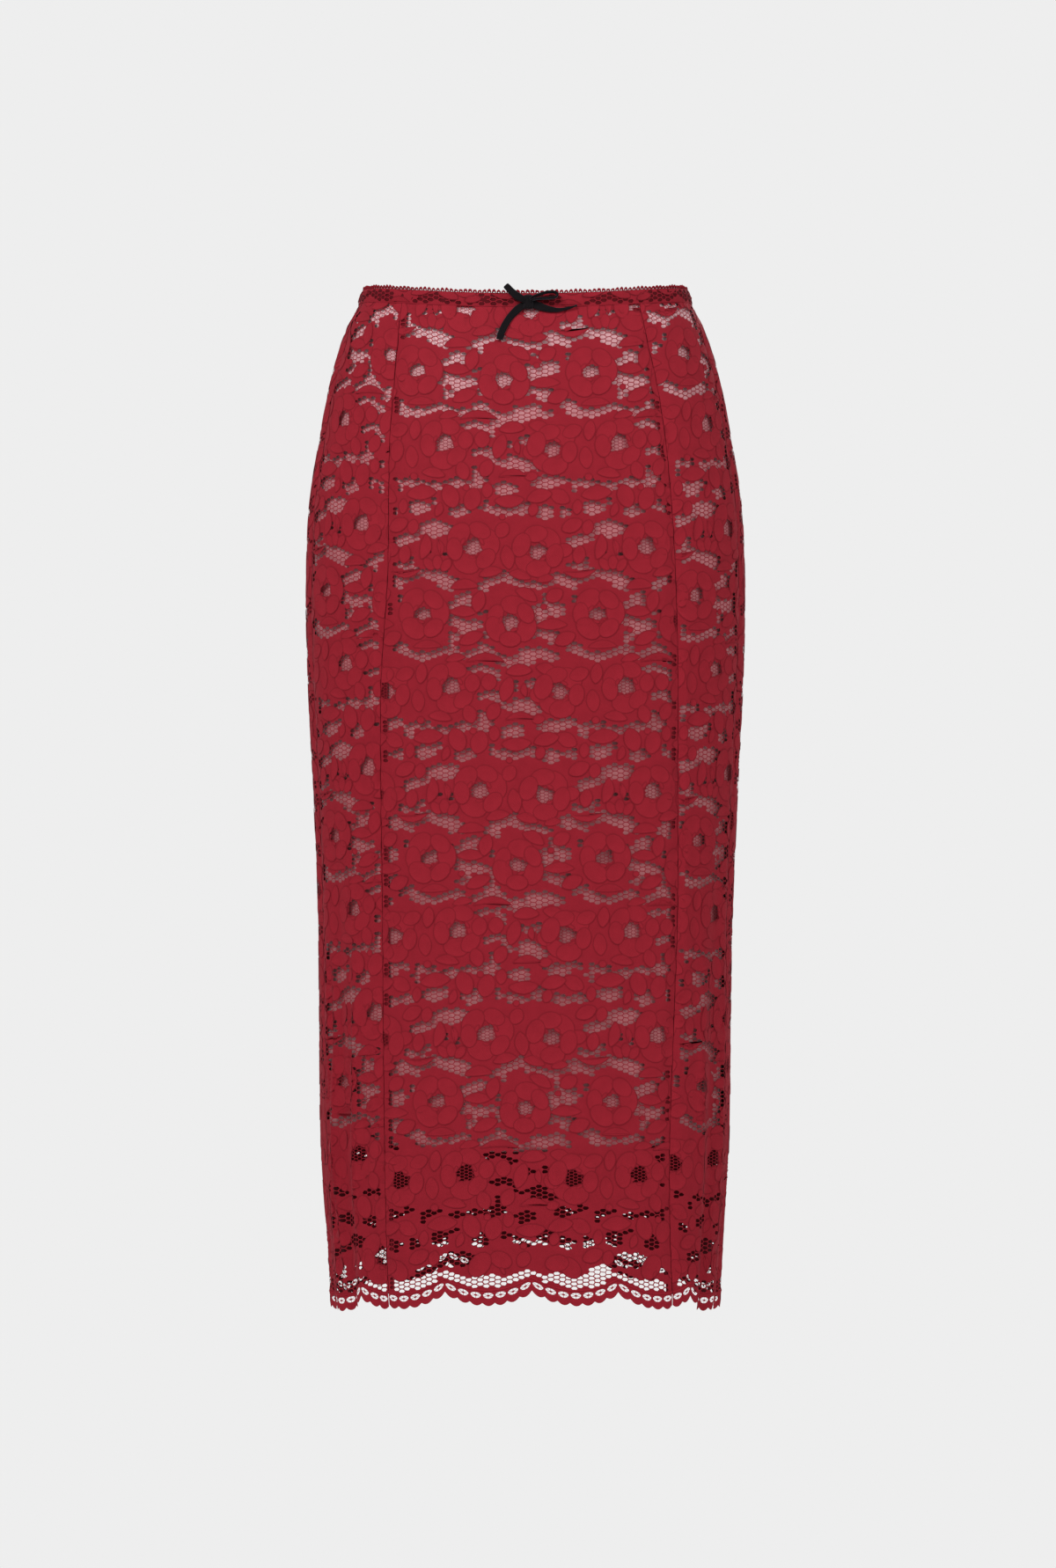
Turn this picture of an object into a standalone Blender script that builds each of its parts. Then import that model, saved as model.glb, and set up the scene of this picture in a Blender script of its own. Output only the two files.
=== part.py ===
"""Lace pencil skirt, filled out as it is worn and open at the waist and the hem.

The frame is +Z up with the front of the skirt facing -Y, +X to the viewer's right.  The origin is the
middle of the waist, level with the top of the waistband at the sides.  Sizes are in millimetres and
are turned to metres when a mesh is made.

Places on the cloth are given by a drop, the distance below the waist at the sides, and by an arc, the
distance round the skirt from the centre front, positive towards +X.
"""

from collections import namedtuple
import math

import bmesh
import bpy
from mathutils import Vector
import numpy as np

MM = 0.001

# Lengths of the skirt.
SIDE_LENGTH = 767.0
FRONT_WAIST_DIP = 11.5
HEM_RISE = 14.0
BAND_HEIGHT = 11.0
BAND_BULGE = 0.6
BAND_COLUMNS = 72
BAND_PROFILE = ((0.0, 0.0), (0.3, 1.0), (0.75, 1.0), (1.0, 0.0))
LINING_SIDE_LENGTH = 632.0
LINING_FRONT_EXTRA = 8.0

# Thicknesses and gaps.
LACE_WALL = 1.2
LINING_WALL = 1.0
BAND_WALL = 3.0
PICOT_WALL = 1.0
RIBBON_WALL = 1.0
GAP = 0.35
SEAM_GAP = 0.45
LINING_SEAM_GAP = 1.1

# Cross-section: a rounder-cornered ellipse, and where the side seams run on it.
ROUNDNESS = 2.2
SIDE_SEAM_ANGLE = 76.0
RING_SAMPLES = 720

# Sections down the skirt: half width, depths from the middle to the front and to the back, and the
# sideways places of the two front princess seams.
Section = namedtuple("Section", "drop half_width front back left_seam right_seam")
SECTIONS = (
    Section(0.0, 122.7, 86.0, 88.0, -90.5, 83.0),
    Section(11.0, 125.7, 87.5, 90.0, -91.0, 84.0),
    Section(27.0, 133.7, 91.0, 95.0, -93.0, 87.5),
    Section(54.0, 143.3, 95.5, 102.0, -96.0, 94.0),
    Section(80.0, 149.6, 99.0, 108.0, -98.0, 99.0),
    Section(107.0, 154.5, 102.0, 114.0, -100.0, 103.0),
    Section(160.0, 163.0, 106.0, 122.0, -101.0, 108.0),
    Section(213.0, 165.6, 108.0, 126.0, -101.5, 111.0),
    Section(293.0, 164.2, 108.0, 122.0, -106.5, 113.0),
    Section(373.0, 160.2, 107.0, 115.0, -107.0, 113.0),
    Section(466.0, 156.5, 105.5, 110.0, -106.0, 113.0),
    Section(573.0, 155.3, 104.5, 107.0, -105.0, 109.5),
    Section(652.0, 154.2, 104.0, 106.0, -104.0, 107.0),
    Section(706.0, 150.5, 103.0, 105.0, -103.0, 107.5),
    Section(767.0, 146.8, 102.0, 104.0, -101.0, 110.0),
)

# Panels between two seams, with the small bumps along each one's hem and the bump where the first
# deep notch of the big scallops lies.  The wall's columns are FINE_COLUMN bumps apart in the fine
# stretch at each end of a panel, and the panel's own column apart between them.
Panel = namedtuple("Panel", "name first_seam last_seam bumps first_notch fine_ends column")
PANELS = (
    Panel("front_centre", "left_princess", "right_princess", 24, 5, 0, 1.0),
    Panel("side_front_right", "right_side", "left_princess", 8, 5, 4, 0.5),
    Panel("side_front_left", "right_princess", "left_side", 7, 2, 4, 0.5),
    Panel("back_panel", "left_side", "right_side", 52, 5, 5, 2.0),
)
FINE_COLUMN = 0.5
BUMPS_IN_SCALLOP = 7
SCALLOP_RISE = 9.5
BUMP_RISE = 2.2
POINTS_IN_BUMP = 4
HEM_STRIP = 17.0

# Rows of the lace wall, closer where the shape turns quickly.
LACE_DROPS = (11.5, 19.0, 30.0, 46.0, 68.0, 98.0, 140.0, 190.0, 250.0, 320.0, 395.0, 470.0, 540.0,
              600.0, 652.0, 700.0)
LINING_DROPS = (11.5, 22.0, 42.0, 72.0, 110.0, 160.0, 220.0, 300.0, 380.0, 460.0, 530.0, 590.0)

# Long folds that start at a drop and deepen to the hem, each across one panel.
Fold = namedtuple("Fold", "panel across depth reach top")
FOLDS = (
    Fold("side_front_right", 0.38, 8.0, 9.0, 330.0),
    Fold("side_front_right", 0.84, 2.0, 7.0, 560.0),
    Fold("side_front_left", 0.68, 8.5, 10.0, 300.0),
    Fold("front_centre", 0.93, 2.0, 12.0, 560.0),
    Fold("back_panel", 0.025, 4.5, 6.0, 430.0),
    Fold("back_panel", 0.11, 7.0, 13.0, 400.0),
    Fold("back_panel", 0.34, 5.0, 22.0, 470.0),
    Fold("back_panel", 0.63, 6.0, 24.0, 440.0),
    Fold("back_panel", 0.88, 7.0, 14.0, 420.0),
    Fold("back_panel", 0.975, 4.0, 6.0, 480.0),
)
FOLD_GROWTH = 1.2
SEAM_DIP = 1.1
SEAM_DIP_REACH = 5.0
SEAM_DIP_TOP = 22.0

# Small gathers under the waistband.  Slow waves shift them along and make their heights uneven.
GATHER_HEIGHT = 0.8
GATHER_PITCH = 22.0
GATHER_START = 8.0
GATHER_FADE = 34.0
GATHER_SHIFT = 0.35
GATHER_SHIFT_REACH = 41.0
GATHER_UNEVEN = 0.4
GATHER_UNEVEN_REACH = 29.0

# The lining hangs inside the lace.
LINING_INSET_TOP = 1.75
LINING_INSET = 3.4
LINING_EASE_DROP = 28.0
LINING_FOLD_SPREAD = 1.7
LINING_FOLD_EXTRA = 1.15
LINING_SIDE_COLUMNS = 5
LINING_CENTRE_COLUMNS = 9
LINING_BACK_COLUMNS = 18

# Picot edging.
PICOT_COUNT = 155
PICOT_BASE_HEIGHT = 0.9
PICOT_HEIGHT = 2.3

# Ribbon bow, measured from the middle of its knot.
KNOT_X = 2.2
KNOT_DROP_FRONT = 7.0
KNOT_SIZE = (7.6, 3.4, 10.6)
KNOT_EDGE = 1.1
KNOT_EDGE_STEPS = 2
KNOT_GAP = 0.5
RIBBON_STEPS = 3
RibbonRow = namedtuple("RibbonRow", "x out z half_width")
RIBBON_LEAN = {"bow_tail_left": 0.0, "bow_tail_right": 0.0, "bow_loop_left": 0.0, "bow_loop_right": 80.0}
RIBBONS = {
    "bow_tail_left": (
        RibbonRow(-5.6, 0.8, -4.0, 2.4),
        RibbonRow(-8.0, 0.8, -5.8, 2.6),
        RibbonRow(-13.2, 0.9, -11.0, 2.6),
        RibbonRow(-17.3, 1.1, -17.6, 2.6),
        RibbonRow(-20.0, 1.3, -24.0, 2.6),
        RibbonRow(-21.0, 1.3, -28.2, 2.6),
    ),
    "bow_tail_right": (
        RibbonRow(5.1, 0.8, -2.1, 2.9),
        RibbonRow(10.5, 0.9, -4.0, 2.7),
        RibbonRow(16.3, 1.1, -5.4, 2.2),
        RibbonRow(22.0, 1.3, -5.8, 1.5),
        RibbonRow(29.0, 1.4, -4.5, 0.9),
        RibbonRow(35.8, 1.4, -2.2, 0.4),
    ),
    "bow_loop_left": (
        RibbonRow(-5.4, 4.6, 2.7, 2.3),
        RibbonRow(-8.6, 5.3, 4.4, 2.5),
        RibbonRow(-12.4, 5.6, 7.6, 2.5),
        RibbonRow(-15.2, 5.3, 10.6, 2.4),
        RibbonRow(-16.3, 4.2, 11.7, 2.3),
        RibbonRow(-15.2, 3.1, 10.6, 2.4),
        RibbonRow(-12.4, 2.8, 7.6, 2.5),
        RibbonRow(-8.6, 2.9, 4.4, 2.5),
        RibbonRow(-5.4, 2.9, 2.7, 2.3),
    ),
    "bow_loop_right": (
        RibbonRow(4.4, 3.6, 4.0, 2.2),
        RibbonRow(9.0, 3.8, 5.6, 2.4),
        RibbonRow(14.5, 4.0, 7.0, 2.5),
        RibbonRow(19.3, 4.0, 7.1, 2.5),
        RibbonRow(21.4, 4.0, 5.0, 2.5),
        RibbonRow(19.3, 4.0, 3.1, 2.5),
        RibbonRow(14.0, 4.0, 2.5, 2.5),
        RibbonRow(9.0, 3.8, 2.3, 2.4),
        RibbonRow(4.4, 3.6, 2.0, 2.2),
    ),
}

LACE_RED = (0.27, 0.018, 0.028, 1.0)
LINING_ROSE = (0.55, 0.25, 0.26, 1.0)
RIBBON_BLACK = (0.012, 0.011, 0.013, 1.0)


def smooth_step(value):
    """Ease from 0 to 1 as value goes from 0 to 1."""
    value = min(max(value, 0.0), 1.0)
    return value * value * (3.0 - 2.0 * value)


def section_value(column, drop):
    """A column of SECTIONS at any drop, on a smooth curve through the rows."""
    drops = [row.drop for row in SECTIONS]
    values = [getattr(row, column) for row in SECTIONS]
    slopes = np.gradient(values, drops)
    drop = min(max(drop, drops[0]), drops[-1])
    row = min(int(np.searchsorted(drops, drop, side="right")) - 1, len(drops) - 2)
    span = drops[row + 1] - drops[row]
    t = (drop - drops[row]) / span
    start = (1.0 + 2.0 * t) * (1.0 - t) ** 2 * values[row]
    start_slope = t * (1.0 - t) ** 2 * span * slopes[row]
    end = t * t * (3.0 - 2.0 * t) * values[row + 1]
    end_slope = t * t * (t - 1.0) * span * slopes[row + 1]
    return start + start_slope + end + end_slope


class Ring:
    """The closed cross-section of the skirt at one drop, measured by arc from the centre front."""

    def __init__(self, drop):
        self.drop = drop
        self.half_width = section_value("half_width", drop)
        front = section_value("front", drop)
        back = section_value("back", drop)
        self.angles = np.linspace(-math.pi, math.pi, RING_SAMPLES + 1)
        power = 2.0 / ROUNDNESS
        sines = np.sin(self.angles)
        cosines = np.cos(self.angles)
        self.x = self.half_width * np.sign(sines) * np.abs(sines) ** power
        depth = np.where(cosines >= 0.0, front, back)
        self.y = -depth * np.sign(cosines) * np.abs(cosines) ** power
        steps = np.hypot(np.diff(self.x), np.diff(self.y))
        arcs = np.concatenate(([0.0], np.cumsum(steps)))
        self.arcs = arcs - arcs[RING_SAMPLES // 2]
        self.length = float(arcs[-1])
        self.seams = {
            "left_princess": self.arc_at(self.angle_of_x(section_value("left_seam", drop))),
            "right_princess": self.arc_at(self.angle_of_x(section_value("right_seam", drop))),
            "left_side": self.arc_at(math.radians(SIDE_SEAM_ANGLE)),
            "right_side": self.arc_at(-math.radians(SIDE_SEAM_ANGLE)),
        }
        self.folds = [(self.panel_arc(fold.panel, fold.across), fold) for fold in FOLDS]

    def angle_of_x(self, x):
        share = (abs(x) / self.half_width) ** (ROUNDNESS / 2.0)
        return math.copysign(math.asin(min(share, 1.0)), x)

    def arc_at(self, angle):
        return float(np.interp(angle, self.angles, self.arcs))

    def panel_span(self, name):
        """The arcs where a panel starts and ends, the end always after the start."""
        panel = next(row for row in PANELS if row.name == name)
        first = self.seams[panel.first_seam]
        last = self.seams[panel.last_seam]
        return first, last if last > first else last + self.length

    def panel_arc(self, name, across):
        first, last = self.panel_span(name)
        return first + across * (last - first)

    def wrap(self, arc):
        """The same place on the ring, with its arc between the two ends of the table."""
        return (arc - self.arcs[0]) % self.length + self.arcs[0]

    def apart(self, arc, other):
        """The distance between two arcs, the shorter way round."""
        half = 0.5 * self.length
        return abs((arc - other + half) % self.length - half)

    def fold_depth(self, arc, spread):
        """How far the long folds push the cloth inwards here."""
        depth = 0.0
        for place, fold in self.folds:
            grown = (self.drop - fold.top) / (SIDE_LENGTH - fold.top)
            if grown > 0.0:
                near = math.exp(-(self.apart(arc, place) / (fold.reach * spread)) ** 2)
                depth += fold.depth * min(grown, 1.0) ** FOLD_GROWTH * near
        return depth

    def seam_dip(self, arc):
        """How far the nearest seam pulls the cloth inwards here, from just below the waistband."""
        nearest = min(self.apart(arc, seam) for seam in self.seams.values())
        start = smooth_step((self.drop - SEAM_DIP_TOP) / SEAM_DIP_TOP)
        return SEAM_DIP * start * math.exp(-(nearest / SEAM_DIP_REACH) ** 2)

    def gather(self, arc):
        """Small waves under the waistband, their heights and lengths uneven."""
        fade = math.exp(-((self.drop - BAND_HEIGHT) / GATHER_FADE) ** 2)
        start = smooth_step((self.drop - BAND_HEIGHT) / GATHER_START)
        phase = arc / GATHER_PITCH + GATHER_SHIFT * math.sin(arc / GATHER_SHIFT_REACH)
        height = 1.0 - GATHER_UNEVEN + GATHER_UNEVEN * math.sin(arc / GATHER_UNEVEN_REACH)
        return GATHER_HEIGHT * height * fade * start * (0.5 - 0.5 * math.cos(math.tau * phase))

    def point(self, arc, outward=0.0, lift=0.0):
        """The point on the ring at an arc, moved outwards and raised."""
        arc = self.wrap(arc)
        x = float(np.interp(arc, self.arcs, self.x))
        y = float(np.interp(arc, self.arcs, self.y))
        ahead = self.wrap(arc + 0.5)
        behind = self.wrap(arc - 0.5)
        across_x = float(np.interp(ahead, self.arcs, self.x) - np.interp(behind, self.arcs, self.x))
        across_y = float(np.interp(ahead, self.arcs, self.y) - np.interp(behind, self.arcs, self.y))
        size = math.hypot(across_x, across_y)
        angle = float(np.interp(arc, self.arcs, self.angles))
        height = lift - self.drop + edge_rise(self.drop, math.cos(angle))
        return Vector((x + outward * across_y / size, y - outward * across_x / size, height)) * MM


def edge_rise(drop, cosine):
    """The waist dips at the front, and the hem rises at the front and the back."""
    down = drop / SIDE_LENGTH
    at_waist = -FRONT_WAIST_DIP * max(cosine, 0.0) ** 2
    at_hem = HEM_RISE * cosine * cosine
    return (1.0 - down) * at_waist + down * at_hem


def hem_lift(panel, bump):
    """Height of the cut edge above its lowest points, at a bump along the panel's hem."""
    from_notch = bump - panel.first_notch
    scallop = from_notch / BUMPS_IN_SCALLOP % 1.0
    small = from_notch % 1.0
    return SCALLOP_RISE * (2.0 * scallop - 1.0) ** 2 + BUMP_RISE * (2.0 * small - 1.0) ** 2


def wall_columns(panel):
    """Where the wall's columns stand, counted in hem bumps from the panel's start."""
    places = [0.0]
    while places[-1] < panel.bumps:
        near_end = min(places[-1], panel.bumps - places[-1] - FINE_COLUMN) < panel.fine_ends
        places.append(places[-1] + (FINE_COLUMN if near_end else panel.column))
    return places


def new_material(name, colour, roughness):
    material = bpy.data.materials.new(name)
    material.use_nodes = True
    shader = material.node_tree.nodes["Principled BSDF"]
    shader.inputs["Base Color"].default_value = colour
    shader.inputs["Roughness"].default_value = roughness
    shader.inputs["Metallic"].default_value = 0.0
    return material


def add_object(name, mesh, collection, material):
    mesh.materials.append(material)
    thing = bpy.data.objects.new(name, mesh)
    collection.objects.link(thing)
    return thing


def thicken(thing, thickness, offset=-1.0):
    """Give an open sheet a wall, inwards from the points it was made with."""
    wall = thing.modifiers.new("Wall", "SOLIDIFY")
    wall.thickness = thickness * MM
    wall.offset = offset
    wall.use_even_offset = True


def loft(name, rows, closed=False):
    """A sheet through rows of points, top to bottom, with each row running towards +X at the front."""
    mesh = bpy.data.meshes.new(name)
    shape = bmesh.new()
    lines = [[shape.verts.new(point) for point in row] for row in rows]
    for upper, lower in zip(lines, lines[1:]):
        count = len(upper)
        for column in range(count if closed else count - 1):
            ahead = (column + 1) % count
            shape.faces.new((upper[column], lower[column], lower[ahead], upper[ahead]))
    shape.to_mesh(mesh)
    shape.free()
    mesh.shade_smooth()
    return mesh


def add_cut_hem(mesh, columns, hem_places, hem_points):
    """Join the lowest row of a sheet, at its columns, to the finer points of its cut edge."""
    shape = bmesh.new()
    shape.from_mesh(mesh)
    shape.verts.ensure_lookup_table()
    last_row = shape.verts[len(shape.verts) - len(columns):]
    edge = [shape.verts.new(point) for point in hem_points]
    for column in range(len(columns) - 1):
        under = [
            vert for place, vert in zip(hem_places, edge)
            if columns[column] <= place <= columns[column + 1]
        ]
        shape.faces.new([last_row[column]] + under + [last_row[column + 1]])
    shape.to_mesh(mesh)
    shape.free()


def lace_point(ring, arc, lift=0.0):
    outward = ring.gather(arc) - ring.fold_depth(arc, 1.0) - ring.seam_dip(arc)
    return ring.point(arc, outward, lift)


def panel_arcs(ring, panel, places):
    """Arcs of places counted in bumps, with half of the seam gap left at each end."""
    first, last = ring.panel_span(panel.name)
    first += 0.5 * SEAM_GAP
    last -= 0.5 * SEAM_GAP
    return [first + (last - first) * place / panel.bumps for place in places]


def build_lace_panel(panel, collection, material):
    columns = wall_columns(panel)
    rows = []
    for drop in LACE_DROPS + (SIDE_LENGTH - HEM_STRIP,):
        ring = Ring(drop)
        rows.append([lace_point(ring, arc) for arc in panel_arcs(ring, panel, columns)])
    mesh = loft(panel.name, rows)
    places = [index / POINTS_IN_BUMP for index in range(panel.bumps * POINTS_IN_BUMP + 1)]
    ring = Ring(SIDE_LENGTH)
    arcs = panel_arcs(ring, panel, places)
    edge = [lace_point(ring, arc, hem_lift(panel, place)) for arc, place in zip(arcs, places)]
    add_cut_hem(mesh, columns, places, edge)
    thicken(add_object(panel.name, mesh, collection, material), LACE_WALL)


def lining_point(ring, arc, lift=0.0):
    ease = smooth_step((ring.drop - BAND_HEIGHT) / LINING_EASE_DROP)
    inset = LINING_INSET_TOP + (LINING_INSET - LINING_INSET_TOP) * ease
    folds = LINING_FOLD_EXTRA * ring.fold_depth(arc, LINING_FOLD_SPREAD)
    return ring.point(arc, -inset - folds, lift)


def lining_arcs(ring, places):
    """Arcs of (panel, across) places, with half of the seam gap left at each end."""
    arcs = [ring.panel_arc(name, across) for name, across in places]
    arcs[0] += 0.5 * LINING_SEAM_GAP
    arcs[-1] -= 0.5 * LINING_SEAM_GAP
    return arcs


def build_lining(name, places, collection, material):
    rows = []
    for drop in LINING_DROPS + (LINING_SIDE_LENGTH,):
        ring = Ring(drop)
        lowest = smooth_step((drop - LINING_DROPS[-1]) / (LINING_SIDE_LENGTH - LINING_DROPS[-1]))
        row = []
        for arc in lining_arcs(ring, places):
            cosine = math.cos(np.interp(ring.wrap(arc), ring.arcs, ring.angles))
            row.append(lining_point(ring, arc, -LINING_FRONT_EXTRA * lowest * cosine * cosine))
        rows.append(row)
    thicken(add_object(name, loft(name, rows), collection, material), LINING_WALL)


def spread_places(name, count):
    """Evenly spread places across a panel, from its start up to but not at its end."""
    return [(name, index / count) for index in range(count)]


def build_linings(collection, material):
    front = spread_places("side_front_right", LINING_SIDE_COLUMNS)
    front += spread_places("front_centre", LINING_CENTRE_COLUMNS)
    front += spread_places("side_front_left", LINING_SIDE_COLUMNS)
    front.append(("side_front_left", 1.0))
    back = spread_places("back_panel", LINING_BACK_COLUMNS)
    back.append(("back_panel", 1.0))
    build_lining("lining_front", front, collection, material)
    build_lining("lining_back", back, collection, material)


def build_waistband(collection, material):
    """A soft closed casing, a little fuller in the middle of its height."""
    rows = []
    for down, fullness in BAND_PROFILE:
        ring = Ring(down * BAND_HEIGHT)
        arcs = [ring.length * index / BAND_COLUMNS for index in range(BAND_COLUMNS)]
        rows.append([ring.point(arc, fullness * BAND_BULGE) for arc in arcs])
    thicken(add_object("waistband", loft("waistband", rows, closed=True), collection, material), BAND_WALL)


def build_picot_edge(collection, material):
    """A narrow strip with one small rounded bump for each loop, standing on the waistband."""
    ring = Ring(0.0)
    pitch = ring.length / PICOT_COUNT
    inward = -0.5 * (BAND_WALL - PICOT_WALL)
    mesh = bpy.data.meshes.new("picot_edge")
    shape = bmesh.new()
    foot = []
    dip = []
    peak = []
    for index in range(PICOT_COUNT):
        arc = index * pitch
        foot.append(shape.verts.new(ring.point(arc, inward, GAP)))
        dip.append(shape.verts.new(ring.point(arc, inward, GAP + PICOT_BASE_HEIGHT)))
        peak.append(shape.verts.new(ring.point(arc + 0.5 * pitch, inward, GAP + PICOT_HEIGHT)))
    for index in range(PICOT_COUNT):
        ahead = (index + 1) % PICOT_COUNT
        shape.faces.new((dip[index], foot[index], foot[ahead], dip[ahead], peak[index]))
    shape.to_mesh(mesh)
    shape.free()
    thicken(add_object("picot_edge", mesh, collection, material), PICOT_WALL)


def front_face(x, z):
    """The lace's outer Y at the front, in millimetres, at a sideways place and a height."""
    drop = max(-z - FRONT_WAIST_DIP, 0.0)
    width = section_value("half_width", drop)
    depth = section_value("front", drop)
    return -depth * (1.0 - (abs(x) / width) ** ROUNDNESS) ** (1.0 / ROUNDNESS)


def ribbon_curve(rows):
    """Rows of a ribbon's table, with smooth steps put in between them."""
    finer = []
    last = len(rows) - 1
    for index in range(last):
        before, start = rows[max(index - 1, 0)], rows[index]
        end, after = rows[index + 1], rows[min(index + 2, last)]
        for step in range(RIBBON_STEPS):
            t = step / RIBBON_STEPS
            values = []
            for a, b, c, d in zip(before, start, end, after):
                bend = (2.0 * a - 5.0 * b + 4.0 * c - d) * t * t + (3.0 * b - a - 3.0 * c + d) * t ** 3
                values.append(0.5 * (2.0 * b + (c - a) * t + bend))
            finer.append(RibbonRow(*values))
    finer.append(rows[last])
    return finer


def build_ribbon(name, rows, knot_z, collection, material):
    """A flat ribbon along its table's route; its width starts at its lean and is carried along."""
    finer = ribbon_curve(rows)
    route = []
    for row in finer:
        x = KNOT_X + row.x
        z = knot_z + row.z
        route.append(Vector((x, front_face(x, z) - BAND_BULGE - GAP - row.out, z)))
    left = []
    right = []
    lean = math.radians(RIBBON_LEAN[name])
    side = None
    for index, row in enumerate(finer):
        along = route[min(index + 1, len(route) - 1)] - route[max(index - 1, 0)]
        along.normalize()
        if side is None:
            flat = along.cross(Vector((0.0, -1.0, 0.0))).normalized()
            side = flat * math.cos(lean) + along.cross(flat) * math.sin(lean)
        side = (side - along * side.dot(along)).normalized()
        left.append((route[index] - side * row.half_width) * MM)
        right.append((route[index] + side * row.half_width) * MM)
    thicken(add_object(name, loft(name, [left, right]), collection, material), RIBBON_WALL, 0.0)


def build_bow(collection, material):
    knot_z = -FRONT_WAIST_DIP - KNOT_DROP_FRONT
    mesh = bpy.data.meshes.new("bow_knot")
    shape = bmesh.new()
    bmesh.ops.create_cube(shape, size=1.0)
    bmesh.ops.scale(shape, vec=Vector(KNOT_SIZE) * MM, verts=shape.verts)
    shape.to_mesh(mesh)
    shape.free()
    mesh.shade_smooth()
    knot = add_object("bow_knot", mesh, collection, material)
    knot_y = front_face(KNOT_X, knot_z) - BAND_BULGE - KNOT_GAP - 0.5 * KNOT_SIZE[1]
    knot.location = Vector((KNOT_X, knot_y, knot_z)) * MM
    rounding = knot.modifiers.new("Rounding", "BEVEL")
    rounding.width = KNOT_EDGE * MM
    rounding.segments = KNOT_EDGE_STEPS
    for name, rows in RIBBONS.items():
        build_ribbon(name, rows, knot_z, collection, material)


def main():
    for thing in list(bpy.data.objects):
        bpy.data.objects.remove(thing, do_unlink=True)
    collection = bpy.data.collections.new("lace_pencil_skirt")
    bpy.context.scene.collection.children.link(collection)
    for panel in PANELS:
        build_lace_panel(panel, collection, new_material(panel.name + "_lace", LACE_RED, 0.85))
    build_linings(collection, new_material("lining_cloth", LINING_ROSE, 0.6))
    build_waistband(collection, new_material("waistband_lace", LACE_RED, 0.85))
    build_picot_edge(collection, new_material("picot_thread", LACE_RED, 0.8))
    build_bow(collection, new_material("velvet_ribbon", RIBBON_BLACK, 0.9))


main()
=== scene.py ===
"""Lace pencil skirt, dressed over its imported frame.

Places on the cloth are given by an arc, the distance round the skirt from the centre front, and by a
drop, the distance below the waist at the sides.  Flat pieces are made in millimetres with the arc
along X, minus the drop along Y and the distance out from the cloth along Z, and are then laid on the
skirt's form.
"""

from collections import namedtuple
import math

import bmesh
import bpy
from mathutils import Matrix, Vector
import numpy as np


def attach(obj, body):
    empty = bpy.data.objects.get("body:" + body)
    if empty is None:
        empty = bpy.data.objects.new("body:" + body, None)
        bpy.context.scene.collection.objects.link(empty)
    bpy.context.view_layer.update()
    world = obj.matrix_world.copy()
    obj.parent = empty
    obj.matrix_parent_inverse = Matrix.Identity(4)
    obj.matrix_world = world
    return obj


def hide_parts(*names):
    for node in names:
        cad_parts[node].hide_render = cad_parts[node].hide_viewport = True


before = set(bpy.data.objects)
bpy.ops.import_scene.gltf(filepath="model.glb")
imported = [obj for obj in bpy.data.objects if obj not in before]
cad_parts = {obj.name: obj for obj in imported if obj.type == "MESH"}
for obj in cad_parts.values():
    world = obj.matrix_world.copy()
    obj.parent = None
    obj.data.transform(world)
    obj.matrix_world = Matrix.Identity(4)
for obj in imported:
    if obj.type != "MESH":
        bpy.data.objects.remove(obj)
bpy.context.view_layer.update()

bl_info = {
    "name": "Lace pencil skirt",
    "version": (1, 0, 0),
    "blender": (4, 5, 0),
    "location": "View3D > Sidebar > Skirt",
    "description": "Dresses the frame of a lace pencil skirt with its lace, lining, waistband and bow",
    "category": "Object",
}

MM = 0.001

# Lengths and gaps of the form, as in the frame.  All lengths are in millimetres, unless they are named
# otherwise.
SIDE_LENGTH = 767.0
FRONT_WAIST_DIP = 11.5
HEM_RISE = 14.0
BAND_HEIGHT = 11.0
BAND_BULGE = 0.6
LACE_TOP = 11.5
GAP = 0.35
SEAM_GAP = 0.45
ROUNDNESS = 2.2
SIDE_SEAM_ANGLE = 76.0
FORM_DROP_STEP = 2.0
FORM_ROUND_STEPS = 1440

Section = namedtuple("Section", "drop half_width front back left_seam right_seam")
SECTIONS = [Section(*row) for row in (
    (0, 122.7, 86, 88, -90.5, 83), (11, 125.7, 87.5, 90, -91, 84), (27, 133.7, 91, 95, -93, 87.5),
    (54, 143.3, 95.5, 102, -96, 94), (80, 149.6, 99, 108, -98, 99), (107, 154.5, 102, 114, -100, 103),
    (160, 163, 106, 122, -101, 108), (213, 165.6, 108, 126, -101.5, 111),
    (293, 164.2, 108, 122, -106.5, 113), (373, 160.2, 107, 115, -107, 113),
    (466, 156.5, 105.5, 110, -106, 113), (573, 155.3, 104.5, 107, -105, 109.5),
    (652, 154.2, 104, 106, -104, 107), (706, 150.5, 103, 105, -103, 107.5),
    (767, 146.8, 102, 104, -101, 110),
)]

# Strips of lace between two seams, the small bumps along each hem and the bump of its first deep notch.
# The chart places are where the lace repeat starts on the strip, in chart steps, and the strand is the
# thread left round each open cell of its net.
Panel = namedtuple("Panel", "name first_seam last_seam bumps first_notch chart_x chart_y strand")
PANELS = {row[0]: Panel(*row) for row in (
    ("front_centre", "left_princess", "right_princess", 24, 5, -157, 258, 0.31),
    ("side_front_right", "right_side", "left_princess", 8, 5, -92, 232, 0.31),
    ("side_front_left", "right_princess", "left_side", 7, 2, -35, 238, 0.31),
    ("back_panel", "left_side", "right_side", 52, 5, -20, 291, 0.46),
)}
CASING_LACE = Panel("waist_casing", None, None, 97, 0, -239.6, -61, 0.3)
BUMPS_IN_SCALLOP = 7
SCALLOP_RISE = 9.5
BUMP_RISE = 2.2

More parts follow.
